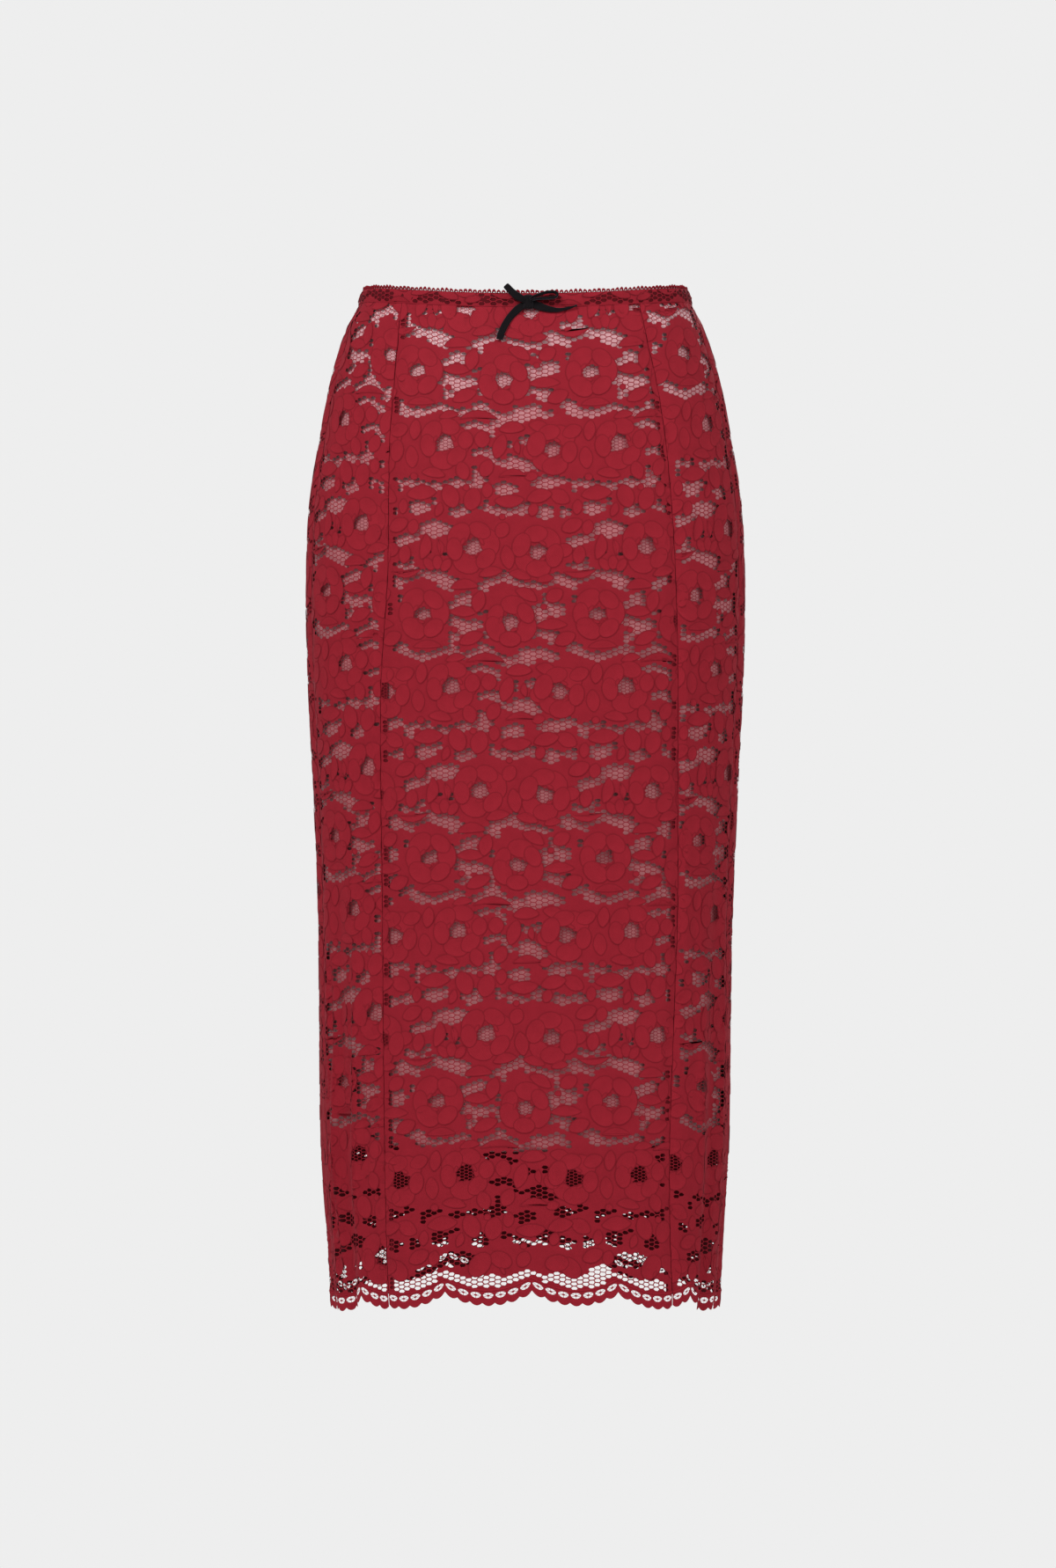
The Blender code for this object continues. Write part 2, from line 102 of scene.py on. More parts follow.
# Long folds that deepen to the hem, by panel.
Fold = namedtuple("Fold", "panel across depth reach top")
FOLDS = [Fold(panel, *row) for panel, rows in (
    ("side_front_right", (
        (0.38, 8, 9, 330), (0.84, 2, 7, 560),
    )),
    ("side_front_left", (
        (0.68, 8.5, 10, 300),
    )),
    ("front_centre", (
        (0.93, 2, 12, 560),
    )),
    ("back_panel", (
        (0.025, 4.5, 6, 430), (0.11, 7, 13, 400), (0.34, 5, 22, 470), (0.63, 6, 24, 440),
        (0.88, 7, 14, 420), (0.975, 4, 6, 480),
    )),
) for row in rows]
FOLD_GROWTH = 1.2
SEAM_DIP = 1.7
SEAM_DIP_REACH = 5.0
SEAM_DIP_TOP = 22.0
PUCKER = 0.22
PUCKER_REACHES = (3.1, 17.0)
GATHER_HEIGHT = 0.8
GATHER_PITCH = 22.0
GATHER_START = 8.0
GATHER_FADE = 34.0
GATHER_SHIFT = 0.35
GATHER_SHIFT_REACH = 41.0
GATHER_UNEVEN = 0.4
GATHER_UNEVEN_REACH = 29.0
TUCK_HEIGHT = 0.4
TUCK_START = 3.0
TUCK_LENGTH = 9.0
TUCK_UNEVEN = 6.0
DRAPE_HEIGHT = 0.55
DRAPE_TOP = 40.0
DRAPE_GROWTH = 420.0

# Small soft creases, placed by panel: depth is inwards, and a minus makes a ridge.  Each
# wanders sideways a little as it goes down.
Crease = namedtuple("Crease", "panel across depth reach top bottom wander")
CREASES = [Crease(panel, *row) for panel, rows in (
    ("side_front_right", (
        (0.16, 3.2, 2.4, 460, 800, 2.9), (0.26, -2.4, 2.6, 500, 780, 2.3),
        (0.52, 3, 2.7, 480, 770, 2.9), (0.62, -2.3, 3, 440, 740, 1.9), (0.74, 2, 3.3, 520, 720, 2.4),
        (0.93, -1.2, 2.6, 60, 800, 0.4),
    )),
    ("side_front_left", (
        (0.07, -1.4, 2.8, 60, 800, 0.4), (0.3, 1.2, 3.6, 420, 700, 1.6),
        (0.45, -1.6, 3.2, 500, 800, 1.4), (0.86, 1.9, 3, 470, 800, 2),
    )),
    ("front_centre", (
        (0.1, 1.2, 9, 430, 720, 3), (0.52, 1.1, 16, 480, 780, 4), (0.83, 1.2, 10, 380, 740, 3),
    )),
    ("back_panel", (
        (0.06, 2.1, 4, 430, 760, 2), (0.18, -1.6, 8, 390, 800, 3), (0.27, 1.8, 7, 520, 790, 4),
        (0.46, -1.4, 14, 450, 760, 5), (0.55, 1.6, 9, 540, 800, 3), (0.74, -1.6, 10, 480, 790, 4),
        (0.82, 1.9, 6, 500, 770, 2.6), (0.94, 2.1, 4, 450, 780, 2),
    )),
) for row in rows]
CREASE_END = 0.28
CREASE_UNEVEN = 0.25

# Lining: its two panels between the side seams, with the columns of their grids.
Lining = namedtuple("Lining", "name first_seam last_seam columns")
LININGS = (
    Lining("lining_front", "right_side", "left_side", 110),
    Lining("lining_back", "left_side", "right_side", 120),
)
LINING_ROWS = 150
LINING_SIDE_LENGTH = 632.0
LINING_FRONT_EXTRA = 19.0
LINING_EXTRA_TOP = 590.0
LINING_INSET_TOP = 1.75
LINING_INSET = 3.4
LINING_EASE_DROP = 28.0
LINING_WAVE = 0.35
LINING_FOLD_SPREAD = 1.7
LINING_FOLD_EXTRA = 1.15
LINING_SEAM_GAP = 1.1
LINING_WALL = 0.8

# Painted shade on the lining from the waist down to the hem, as shares of its colour: the lining is
# darkened where it hangs further in from the lace.
LINING_PAINTED_SHADE = (
    (0.05, (1.0, 1.0, 1.0)),
    (0.16, (0.72, 0.42, 0.44)),
    (0.42, (0.6, 0.31, 0.32)),
    (0.85, (0.56, 0.28, 0.29)),
)

# Below the lining the back is seen through the front: each row is a drop where the open net of the back
# or of the front panels gets another size, as a share, and the back another strand.
LowNet = namedtuple("LowNet", "drop front_share back_share back_strand")
LOW_NET = (
    LowNet(600.0, 1.0, 0.35, 1.05),
    LowNet(642.0, 0.82, 0.25, 1.1),
    LowNet(694.0, 0.86, 0.55, 1.18),
)

# Lace ground: flat-topped six-sided cells in staggered columns.
NET_COLUMN = 4.3
NET_PITCH = 3.2
NET_MARGIN = 4.0
NET_WAVER = 0.28
NET_WAVER_DOWN = 0.6
OPEN_EASE_ACROSS = 3.3
OPEN_EASE_DOWN = 1.9
OPEN_TALL = 0.72
EYE_EASE = 1.5
FINE_COLUMN = 3.0
FINE_PITCH = 2.4
FINE_STRAND = 0.22
FINE_LIFT = 0.1

# The lace repeat, charted in steps of CHART_ACROSS by CHART_DOWN millimetres.
CHART_ACROSS = 0.645
CHART_DOWN = 0.667
REPEAT_ACROSS = 200.0
REPEAT_DOWN = 275.0
REPEAT_DRIFT = 8.0

Flower = namedtuple("Flower", "x y radius petals turn eye_across eye_down")
FLOWERS = [Flower(*row) for row in (
    (97, 33, 30, 6, 12, 13, 12.5), (171, 38, 29, 6, 40, 12, 11), (40, 109, 29.5, 6, 0, 12.5, 9.5),
    (141, 118, 28.5, 6, 28, 13, 9.5), (73, 191, 29, 6, 16, 13, 11), (196, 197, 28.5, 6, 45, 12, 11.5),
)]
PETAL_REACH = 0.68
PETAL_LONG = 0.36
PETAL_WIDE = 0.5
STAMEN_REACH = 0.95
STAMEN_LONG = 0.09
STAMEN_WIDE = 0.17
STAMEN_TURN = 0.3

# Leaves, petals and dots of the repeat: half sizes, turn in degrees, bend of the middle towards the
# top of the chart and how pointed the two ends are.
Motif = namedtuple("Motif", "x y long wide turn bend point")
MOTIFS = [Motif(*row) for row in (
    (18, 42, 11, 7.5, 80, 0, 0.3), (41, 33, 15, 7, 78, -2.5, 0.5), (59, 34, 10, 4, 100, -2, 0.7),
    (47, 53, 8.5, 5.5, 130, 0, 0.1), (57, 51, 8.5, 6, 92, 0, 0.1), (67, 54, 8.5, 5.5, 52, 0, 0.1),
    (19, 60, 19, 4, 4, -5, 0.6), (1, 37, 10, 8, 10, 0, 0.1), (79, 33, 11, 7, 82, 0, 0.2),
    (10, 9, 13, 8, 24, 0, 0.3), (28, 11, 9, 7, 75, 0, 0.3), (131, 14, 10, 8, 60, 0, 0.2),
    (137, 45, 14, 8, 100, 0, 0.4), (118, 63, 14, 6, 12, 2, 0.5), (151, 66, 13, 6, -14, 2, 0.5),
    (180, 70, 10, 5, 10, 1.5, 0.4), (88, 79, 16, 6, 4, 4, 0.3), (105, 95, 13, 8, 75, 1, 0.5),
    (87, 107, 16, 6.5, 0, 1, 0.6), (96, 137, 15, 7.5, 22, 1, 0.5), (77, 127, 4.2, 3.8, 0, 0, 0),
    (178, 101, 4.2, 3.8, 0, 0, 0), (187, 122, 18, 6.5, 2, 1.5, 0.6), (158, 88, 14, 7, -28, 2, 0.5),
    (190, 88, 11, 8, 30, 0, 0.3), (2, 137, 13, 8, 24, 0, 0.4), (45, 146, 17, 5, 2, 3, 0.5),
    (78, 160, 12, 5, 10, 2, 0.5), (112, 163, 22, 4.5, 0, 6, 0.6), (97, 187, 11, 9, 80, 0, 0.2),
    (116, 186, 10, 9, 90, 0, 0.2), (136, 194, 15, 8, 72, 0, 0.4), (150, 174, 15, 7, 4, 2, 0.4),
    (157, 195, 8, 4, 96, 1.5, 0.6), (172, 200, 10.5, 9.5, 0, 0, 0.1), (181, 173, 13, 7, -20, 2, 0.4),
    (18, 177, 12, 8, 20, 0, 0.3), (38, 176, 12, 7, 82, 0, 0.3), (34, 207, 13, 8, 96, 0, 0.3),
    (121, 219, 11, 8, 62, 0, 0.3), (94, 222, 11, 8, 110, 0, 0.3), (151, 228, 16, 4, 2, 5, 0.6),
    (172, 228, 8, 5.5, 12, 0, 0.3), (46, 248, 18, 8.5, 6, 1, 0.5), (60, 226, 14, 6, -8, 2, 0.4),
    (80, 251, 14, 10, 112, 0, 0.2), (105, 254, 13.5, 10, 72, 0, 0.2), (122, 244, 9, 6.5, 84, 0, 0.2),
    (147, 255, 17, 7.5, 3, -1.5, 0.4), (181, 251, 15, 8, 14, 1, 0.5), (4, 251, 13, 8.5, -28, 0, 0.4),
    (24, 263, 9, 6, 84, 0, 0.3), (66, 266, 9, 5, 70, -1, 0.5), (37, 229, 5, 4.6, 0, 0, 0),
    (98, 241, 4.4, 4.2, 0, 0, 0), (139, 274, 4.2, 4, 0, 0, 0), (174, 266, 8, 6, 70, 0, 0.3),
)]
MOTIF_LONG = 1.02
MOTIF_WIDE = 1.06
MOTIF_DOT = 6.0

# Open net of the repeat, as ovals with half sizes and a turn in degrees.
Opening = namedtuple("Opening", "x y across down turn")
OPENINGS = [Opening(*row) for row in (
    (54, 13, 22, 8, 2), (22, 24, 17, 5, 18), (46, 38, 6, 8, 0), (64, 41, 5, 6, 0), (13, 54, 9, 3, -8),
    (25, 50, 6, 4, 50), (10, 71, 8, 7, -30), (21, 68, 9, 4.5, 35), (33, 63, 9, 5, 10),
    (45, 65, 8, 4, -12), (58, 66, 12, 8, -15), (71, 74, 12, 7, -10), (105, 77, 8, 3, 8),
    (119, 72, 9, 4.5, 18), (134, 66, 8, 6, 0), (146, 72, 8, 4, -20), (160, 76, 10, 3.5, -8),
    (173, 78, 8, 3, 0), (193, 69, 9, 6.5, 0), (115, 83, 4, 6, 0), (12, 92, 4.5, 9, -12),
    (88, 92, 8.5, 6.5, 0), (71, 99, 10, 3.5, 8), (72, 116, 7.5, 7, -25), (88, 121, 14, 5.5, 0),
    (80, 131, 9, 5, 50), (102, 119, 7, 3, -10), (110, 107, 4, 7, -20), (111, 131, 4.5, 8, 20),
    (177, 89, 4, 8, 10), (170, 107, 8, 7, 0), (188, 104, 13, 7.5, 4), (173, 115, 6, 4, 0),
    (167, 128, 5.5, 5.5, 0), (178, 131, 9, 4, -8), (191, 135, 11, 6.5, 0), (13, 146, 9, 4.5, 0),
    (18, 153, 6, 7, 0), (35, 156, 14, 4, 0), (54, 154, 11, 3, 4), (69, 150, 10, 4, 0),
    (90, 156, 8, 3.5, 0), (103, 155, 9, 4.5, 20), (112, 148, 7, 5.5, 0), (124, 157, 9, 5, -25),
    (136, 163, 8.5, 6.5, 0), (148, 161, 8, 4, 0), (160, 158, 10, 9, 0), (173, 153, 10, 6, 0),
    (186, 157, 8, 3.5, 0), (96, 173, 5, 3, 30), (107, 170, 7, 3, 5), (118, 172, 6, 3, -30),
    (126, 178, 5, 3, -70), (107, 203, 5.5, 7, -15), (118, 199, 7, 4.5, 0), (128, 205, 7, 4.5, -40),
    (134, 213, 4.5, 7, 10), (109, 222, 4, 10, 0), (112, 232, 8, 6.5, 0), (152, 211, 9.5, 6.5, 0),
    (164, 210, 6, 8, 0), (158, 218, 16, 3.5, 0), (175, 217, 6, 3, 0), (146, 190, 7, 7.5, -20),
    (164, 187, 5, 5, 0), (5, 231, 7, 3, 0), (33, 234, 12, 4, 0), (62, 239, 8, 4, 0),
    (85, 235, 12, 4, 0), (104, 237, 9, 4.5, 0), (22, 243, 5, 10, 25), (186, 235, 13, 6.5, 0),
    (142, 241, 12, 7, 0), (11, 268, 8.5, 9.5, 0), (43, 264, 12, 7, 0), (60, 257, 5, 6, 30),
    (89, 267, 9.5, 7.5, 0), (119, 262, 5.5, 11, 0), (133, 267, 5.5, 5, 0), (145, 270, 6, 3.5, 0),
    (164, 264, 8.5, 6.5, 0), (188, 269, 8.5, 6.5, 0),
)]

# Clothwork plates.
PETAL_SIDES = 14
SMALL_SIDES = 10
PLATE_POINT = 0.75
PLATE_RIM = 0.6
PLATE_RIM_LEAST = 0.18
PLATE_RISE = 0.12
PLATE_LEVELS = 4
PLATE_LEVEL = 0.06
PLATE_LIFT = 0.12
PLATE_MIDDLE = 0.4

# Hem border: a scalloped strip with an eyelet above each bump and a cord above the eyelets.  The rings
# round an eyelet are shares of the way out to the strip's edges and heights.
BORDER_HEIGHT = 11.8
BORDER_PITCH = 9.0
EYELET_HEIGHT = 7.9
EYELET_HALF = (3.7, 2.2)
EYELET_SIDES = 24
EYELET_RINGS = ((0.0, 0.25), (0.18, 0.55), (1.0, 0.1))
EYELET_BARS = 6
EYELET_DOT = (1.15, 0.75)
BORDER_NET = 8.5
BORDER_NET_LEAST = 4.5
BORDER_NET_UNEVEN = (0.72, 0.16, 0.12)
BORDER_STRAND = 0.42
BORDER_CLEAR = 1.2
BUMP_EASE = 1.5
PLATE_OVERHANG = -2.5
EYE_CLEAR = 6.0
CORD_HALF = 0.75
CORD_RISE = 0.7

# The waist casing as a closed loop of (out, drop), and the lace over it.
BAND_LOOP = (
    (-0.3, 0.0), (0.15, 0.5), (0.5, 2.4), (0.65, 5.0), (0.6, 8.0), (0.35, 10.2), (-0.4, 11.0),
    (-2.0, 11.0), (-2.7, 10.3), (-2.9, 8.0), (-2.9, 4.0), (-2.6, 0.9), (-1.6, 0.05),
)
BAND_COLUMNS = 480
BAND_ROUND = 26.0
CASING_EDGE = 0.3
CASING_TUCK = 1.4
CASING_LIFT = 0.45
CASING_DROPS = (0.0, 3.3, 8.2, 11.0)
CASING_FULLNESS = (-0.25, 0.6, 0.6, 0.0)

# Picot loops on the waistband.
PICOT_COUNT = 190
PICOT_RADIUS = 0.95
PICOT_THREAD = 0.68
PICOT_SIDES = 5
PICOT_ARC = 200.0
PICOT_STEPS = 9
PICOT_STRETCH = 1.02
PICOT_TALL = 1.3
PICOT_RISE = 0.35
PICOT_INWARD = 0.7

# Lace turned in along each seam: the seam, its piece and the side it is turned to.
SEAMS = (
    ("left_princess", "left", 1.0), ("right_princess", "right", -1.0),
    ("left_side", "side_left", 1.0), ("right_side", "side_right", -1.0),
)
ALLOWANCE_OVERLAP = 1.4
ALLOWANCE_TOP = 2.0
ALLOWANCE_SHORTER = 14.0
ALLOWANCE_BEHIND = 0.7
ALLOWANCE_COLUMNS = 3
ALLOWANCE_ROWS = 220
# The side allowances are turned-in lace made wide, so that their painted shade darkens the open net near
# the side seams.
SIDE_ALLOWANCE = 29.0
SIDE_ALLOWANCE_COLUMNS = 12

# Ribbon bow, measured from the middle of its knot, as in the frame.
KNOT_X = 2.2
KNOT_DROP_FRONT = 7.0
KNOT_Z = -FRONT_WAIST_DIP - KNOT_DROP_FRONT
KNOT_SIZE = (7.6, 3.4, 10.6)
KNOT_GAP = 0.5
KNOT_CUTS = 5
RIBBON_LEAN = {"bow_loop_right": 80.0}
RIBBON_WALL = 1.3
RIBBON_STEPS = 8
RIBBON_COLUMNS = 6
RIBBON_CUP = 0.35
RibbonRow = namedtuple("RibbonRow", "x out z half_width")
RIBBONS = {name: [RibbonRow(*row) for row in rows] for name, rows in (
    ("bow_tail_left", (
        (-1.5, 1.2, -1.6, 2), (-4.4, 0.9, -3, 2.6), (-8, 0.8, -5.6, 2.9), (-13.2, 0.9, -11, 2.6),
        (-17.3, 1.1, -17.6, 2.6), (-20, 1.3, -24, 2.6), (-21, 1.3, -28.2, 2.6),
    )),
    ("bow_tail_right", (
        (1.6, 1.2, -1.2, 2.4), (5.1, 0.8, -2.1, 2.9), (10.5, 0.9, -4, 2.7), (16.3, 1.1, -5.4, 2.2),
        (22, 1.3, -5.8, 1.5), (29, 1.4, -4.5, 0.9), (35.8, 1.4, -2.2, 0.4),
    )),
    ("bow_loop_left", (
        (-1.6, 2.6, 0.8, 1.9), (-5, 4.4, 2.4, 2.5), (-8.6, 5.3, 4.4, 2.7), (-12.4, 5.6, 7.6, 2.5),
        (-15.2, 5.3, 10.6, 2.4), (-16.3, 4.2, 11.7, 2.3), (-15.2, 3.1, 10.6, 2.4),
        (-12.4, 2.8, 7.6, 2.5), (-8.6, 2.9, 4.4, 2.7), (-5, 2.9, 2.4, 2.5), (-1.6, 2.2, 0.8, 1.9),
    )),
    ("bow_loop_right", (
        (1.4, 2.6, 1.6, 2), (4.4, 3.6, 3.9, 2.4), (9, 3.8, 5.6, 2.4), (14.5, 4, 7, 2.5),
        (19.3, 4, 7.1, 2.5), (21.4, 4, 5, 2.5), (19.3, 4, 3.1, 2.5), (14, 4, 2.5, 2.5),
        (9, 3.8, 2.3, 2.4), (4.4, 3.6, 1.7, 2.4), (1.4, 2.6, 0.6, 2),
    )),
)}

# Twilled thread: the ribs' lean, and the radians in a centimetre for ribs one millimetre apart.
RIB_LEAN = 0.8
RIB_TURN = 62.8
RIB_WAVER = 9.0
FIBRE_TONE = 0.3
FIBRE_HEIGHT = 0.5

# Studio, in metres and watts: a light's place, the height that it aims at, its size and its power.
LIGHTS = (
    ("key", (-1.3, -2.0, 1.5), -0.18, 1.2, 62.0),
    ("fill", (1.9, -1.5, 0.9), -0.3, 1.4, 27.0),
    ("backface_painted_shade", (0.4, 2.4, 1.3), -0.3, 1.6, 42.0),
)
CAMERA_PLACE = (0.002, -3.0, -0.372)
CAMERA_VIEW_HEIGHT = 1.185
SENSOR = 36.0
FLOOR_Z = -1.3
FLOOR_RADIUS = 1.6
FLOOR_SIDES = 96
AIR_STRENGTH = 0.42
AIR_SEEN = 0.855


def smooth_step(value):
    """Ease from 0 to 1 as value goes from 0 to 1."""
    value = np.clip(value, 0.0, 1.0)
    return value * value * (3.0 - 2.0 * value)


def section_values(column, drops):
    """A column of SECTIONS at many drops, on a smooth curve through the rows."""
    known = np.array([row.drop for row in SECTIONS], float)
    values = np.array([getattr(row, column) for row in SECTIONS], float)
    slopes = np.gradient(values, known)
    drops = np.clip(drops, known[0], known[-1])
    row = np.minimum(np.searchsorted(known, drops, side="right") - 1, len(known) - 2)
    span = known[row + 1] - known[row]
    t = (drops - known[row]) / span
    start = (1.0 + 2.0 * t) * (1.0 - t) ** 2 * values[row] + t * (1.0 - t) ** 2 * span * slopes[row]
    end = t * t * (3.0 - 2.0 * t) * values[row + 1] + t * t * (t - 1.0) * span * slopes[row + 1]
    return start + end


class SkirtForm:
    """The skirt's surface as tables over the drop and the share of the way round.

    In its waves the numbers under a place are reaches in millimetres, those before a turn are waves in
    one round and those added are shifts.
    """

    def __init__(self):
        self.drops = np.arange(0.0, SIDE_LENGTH + 2.0 * FORM_DROP_STEP, FORM_DROP_STEP)
        sections = np.stack([section_values(name, self.drops) for name in Section._fields[1:]], axis=1)
        angles = np.linspace(-math.pi, math.pi, FORM_ROUND_STEPS + 1)
        shares = np.linspace(-0.5, 0.5, FORM_ROUND_STEPS + 1)
        sines, cosines = np.sin(angles), np.cos(angles)
        power = 2.0 / ROUNDNESS
        side = math.radians(SIDE_SEAM_ANGLE)
        tables = {"x": [], "y": [], "cosine": []}
        seams = {"left_princess": [], "right_princess": [], "left_side": [], "right_side": []}
        self.lengths = np.empty(len(self.drops))
        for index, (half, front, back, *princess) in enumerate(sections):
            x = half * np.sign(sines) * np.abs(sines) ** power
            y = -np.where(cosines >= 0.0, front, back) * np.sign(cosines) * np.abs(cosines) ** power
            arcs = np.concatenate(([0.0], np.cumsum(np.hypot(np.diff(x), np.diff(y)))))
            arcs -= arcs[FORM_ROUND_STEPS // 2]
            self.lengths[index] = arcs[-1] - arcs[0]
            for table, values in zip(tables.values(), (x, y, cosines)):
                table.append(np.interp(shares * self.lengths[index], arcs, values))
            turns = [math.copysign(math.asin(min((abs(place) / half) ** (ROUNDNESS / 2.0), 1.0)), place)
                     for place in princess]
            for seam, turn in zip(seams.values(), (*turns, side, -side)):
                seam.append(np.interp(turn, angles, arcs))
        self.seams = {name: np.array(places) for name, places in seams.items()}
        self.tables = {name: np.array(rows) for name, rows in tables.items()}
        across_x, across_y = (np.roll(self.tables[name][:, :-1], -2, axis=1)
                              - np.roll(self.tables[name][:, :-1], 2, axis=1) for name in "xy")
        size = np.hypot(across_x, across_y)
        for name, part in (("out_x", across_y / size), ("out_y", -across_x / size)):
            self.tables[name] = np.concatenate((part, part[:, :1]), axis=1)

    def length(self, drop):
        """The way round at a drop."""
        return np.interp(drop, self.drops, self.lengths)

    def seam(self, name, drop):
        """The arc of a seam at a drop."""
        return np.interp(drop, self.drops, self.seams[name])

    def span(self, panel, drop):
        """The arcs where a panel starts and ends at a drop, the end always after the start."""
        if panel.first_seam is None:
            half = 0.5 * self.length(drop)
            return -half, half
        first, last = self.seam(panel.first_seam, drop), self.seam(panel.last_seam, drop)
        return first, np.where(last > first, last, last + self.length(drop))

    def look_up(self, name, arc, drop):
        """A table's value at an arc and a drop, between its rows and columns."""
        share = (arc / self.length(drop) + 0.5) % 1.0 * FORM_ROUND_STEPS
        place = np.clip(drop / FORM_DROP_STEP, 0.0, len(self.drops) - 1.001)
        column = np.minimum(share.astype(int), FORM_ROUND_STEPS - 1)
        row = place.astype(int)
        across, down = share - column, place - row
        table = self.tables[name]
        upper, lower = (table[line, column] * (1.0 - across) + table[line, column + 1] * across
                        for line in (row, row + 1))
        return upper * (1.0 - down) + lower * down

    def apart(self, arc, other, drop):
        """The distance between two arcs, the shorter way round and with its sign."""
        length = self.length(drop)
        return (arc - other + 0.5 * length) % length - 0.5 * length

    def beside(self, line, arc, drop, sway=0.0):
        """The distance of places from the line of a fold or a crease."""
        first, last = self.span(PANELS[line.panel], drop)
        return self.apart(arc, first + line.across * (last - first) + sway, drop)

    def fold_depth(self, arc, drop, spread=1.0):
        """How far the long folds push the cloth inwards."""
        depth = np.zeros(len(arc))
        for fold in FOLDS:
            grown = np.clip((drop - fold.top) / (SIDE_LENGTH - fold.top), 0.0, 1.0) ** FOLD_GROWTH
            away = self.beside(fold, arc, drop)
            depth += fold.depth * grown * np.exp(-(away / (fold.reach * spread)) ** 2)
        return depth

    def crease_depth(self, arc, drop):
        """How far the small creases push the cloth inwards."""
        depth = np.zeros(len(arc))
        for number, crease in enumerate(CREASES):
            sway = crease.wander * np.sin(drop / (37.0 + 3.0 * (number % 4)) + number)
            length = CREASE_END * (crease.bottom - crease.top)
            ends = smooth_step((drop - crease.top) / length) * smooth_step((crease.bottom - drop) / length)
            uneven = 1.0 - CREASE_UNEVEN + CREASE_UNEVEN * np.sin(drop / 21.0 + 2.1 * number)
            away = self.beside(crease, arc, drop, sway)
            depth += crease.depth * uneven * ends * np.exp(-(away / crease.reach) ** 2)
        return depth

    def seam_dip(self, arc, drop):
        """How far the nearest seam pulls the cloth inwards, with small puckers along it."""
        away = [np.abs(self.apart(arc, self.seam(name, drop), drop)) for name in self.seams]
        start = smooth_step((drop - SEAM_DIP_TOP) / SEAM_DIP_TOP)
        fine, slow = PUCKER_REACHES
        pucker = 1.0 + PUCKER * np.sin(drop / fine) * np.sin(drop / slow)
        return SEAM_DIP * pucker * start * np.exp(-(np.minimum.reduce(away) / SEAM_DIP_REACH) ** 2)

    def gather(self, arc, drop):
        """Small waves under the waistband, their heights and lengths uneven."""
        fade = np.exp(-((drop - BAND_HEIGHT) / GATHER_FADE) ** 2)
        start = smooth_step((drop - BAND_HEIGHT) / GATHER_START)
        phase = arc / GATHER_PITCH + GATHER_SHIFT * np.sin(arc / GATHER_SHIFT_REACH)
        height = 1.0 - GATHER_UNEVEN + GATHER_UNEVEN * np.sin(arc / GATHER_UNEVEN_REACH)
        return GATHER_HEIGHT * height * fade * start * (0.5 - 0.5 * np.cos(math.tau * phase))

    def tuck(self, arc, drop):
        """Finer tucks where the cloth leaves the casing, each of its own length."""
        reach = TUCK_LENGTH + TUCK_UNEVEN * np.sin(arc / 13.0 + 0.8) * np.sin(arc / 5.3)
        fade = np.exp(-((drop - BAND_HEIGHT) / reach) ** 2)
        start = smooth_step((drop - BAND_HEIGHT) / TUCK_START)
        return TUCK_HEIGHT * fade * np.sin(arc / 1.15 + 2.2 * np.sin(arc / 9.0)) * start

    def drape(self, arc, drop):
        """Slow, soft unevenness of hanging cloth, stronger towards the hem."""
        turn = arc / self.length(drop) * math.tau
        wave = 0.5 * np.sin(7.0 * turn + drop / 95.0) + 0.3 * np.sin(17.0 * turn - drop / 61.0 + 1.1)
        wave = wave + 0.35 * np.sin(drop / 34.0 + 5.0 * turn) * np.sin(4.0 * turn + 0.5)
        return DRAPE_HEIGHT * wave * smooth_step((drop - DRAPE_TOP) / DRAPE_GROWTH)

    def lace_out(self, arc, drop):
        """How far the lace stands out from the form."""
        inwards = self.fold_depth(arc, drop) + self.crease_depth(arc, drop) + self.seam_dip(arc, drop)
        return self.gather(arc, drop) + self.tuck(arc, drop) + self.drape(arc, drop) - inwards

    def lining_out(self, arc, drop):
        """How far the lining stands out from the form, which is inwards."""
        ease = smooth_step((drop - BAND_HEIGHT) / LINING_EASE_DROP)
        inset = LINING_INSET_TOP + (LINING_INSET - LINING_INSET_TOP) * ease
        slow = LINING_WAVE * np.sin(arc / 23.0 + drop / 160.0) * smooth_step((drop - 60.0) / 200.0)
        return slow - inset - LINING_FOLD_EXTRA * self.fold_depth(arc, drop, LINING_FOLD_SPREAD)

    def wrap(self, arc, drop, out):
        """Points on the form, in metres, moved out along its sides."""
        down = drop / SIDE_LENGTH
        cosine = self.look_up("cosine", arc, drop)
        rise = -(1.0 - down) * FRONT_WAIST_DIP * np.maximum(cosine, 0.0) ** 2
        rise = rise + down * HEM_RISE * cosine * cosine
        x, y = (self.look_up(name, arc, drop) + out * self.look_up("out_" + name, arc, drop)
                for name in "xy")
        return np.stack((x, y, rise - drop), axis=1) * MM


FORM = SkirtForm()


def read_values(elements, name, size=1, kind=np.int32):
    """A value of each element of a mesh as an array, or a row of values."""
    values = np.empty(len(elements) * size, kind)
    elements.foreach_get(name, values)
    return values.reshape(-1, size).astype(float) if size > 1 else values


def mesh_points(mesh):
    return read_values(mesh.vertices, "co", 3, np.float32)


def set_mesh_points(mesh, points):
    mesh.vertices.foreach_set("co", points.astype(np.float32).ravel())
    mesh.update()


def add_cloth_map(mesh, across, up):
    """A UV map that holds each point's place on the flat cloth, in centimetres."""
    flat = np.stack((across, up), axis=1)[read_values(mesh.loops, "vertex_index")]
    mesh.uv_layers.new(name="cloth").data.foreach_set("uv", (flat * 0.1).astype(np.float32).ravel())


def lay(mesh, arc, drop, out):
    """Lay a mesh on the form, smooth and with its UV map."""
    add_cloth_map(mesh, arc, -drop)
    set_mesh_points(mesh, FORM.wrap(arc, drop, out))
    mesh.shade_smooth()
    return mesh


def mesh_from(shape, name):
    """A mesh of what a bmesh holds; the bmesh is freed."""
    mesh = bpy.data.meshes.new(name)
    shape.to_mesh(mesh)
    shape.free()
    return mesh


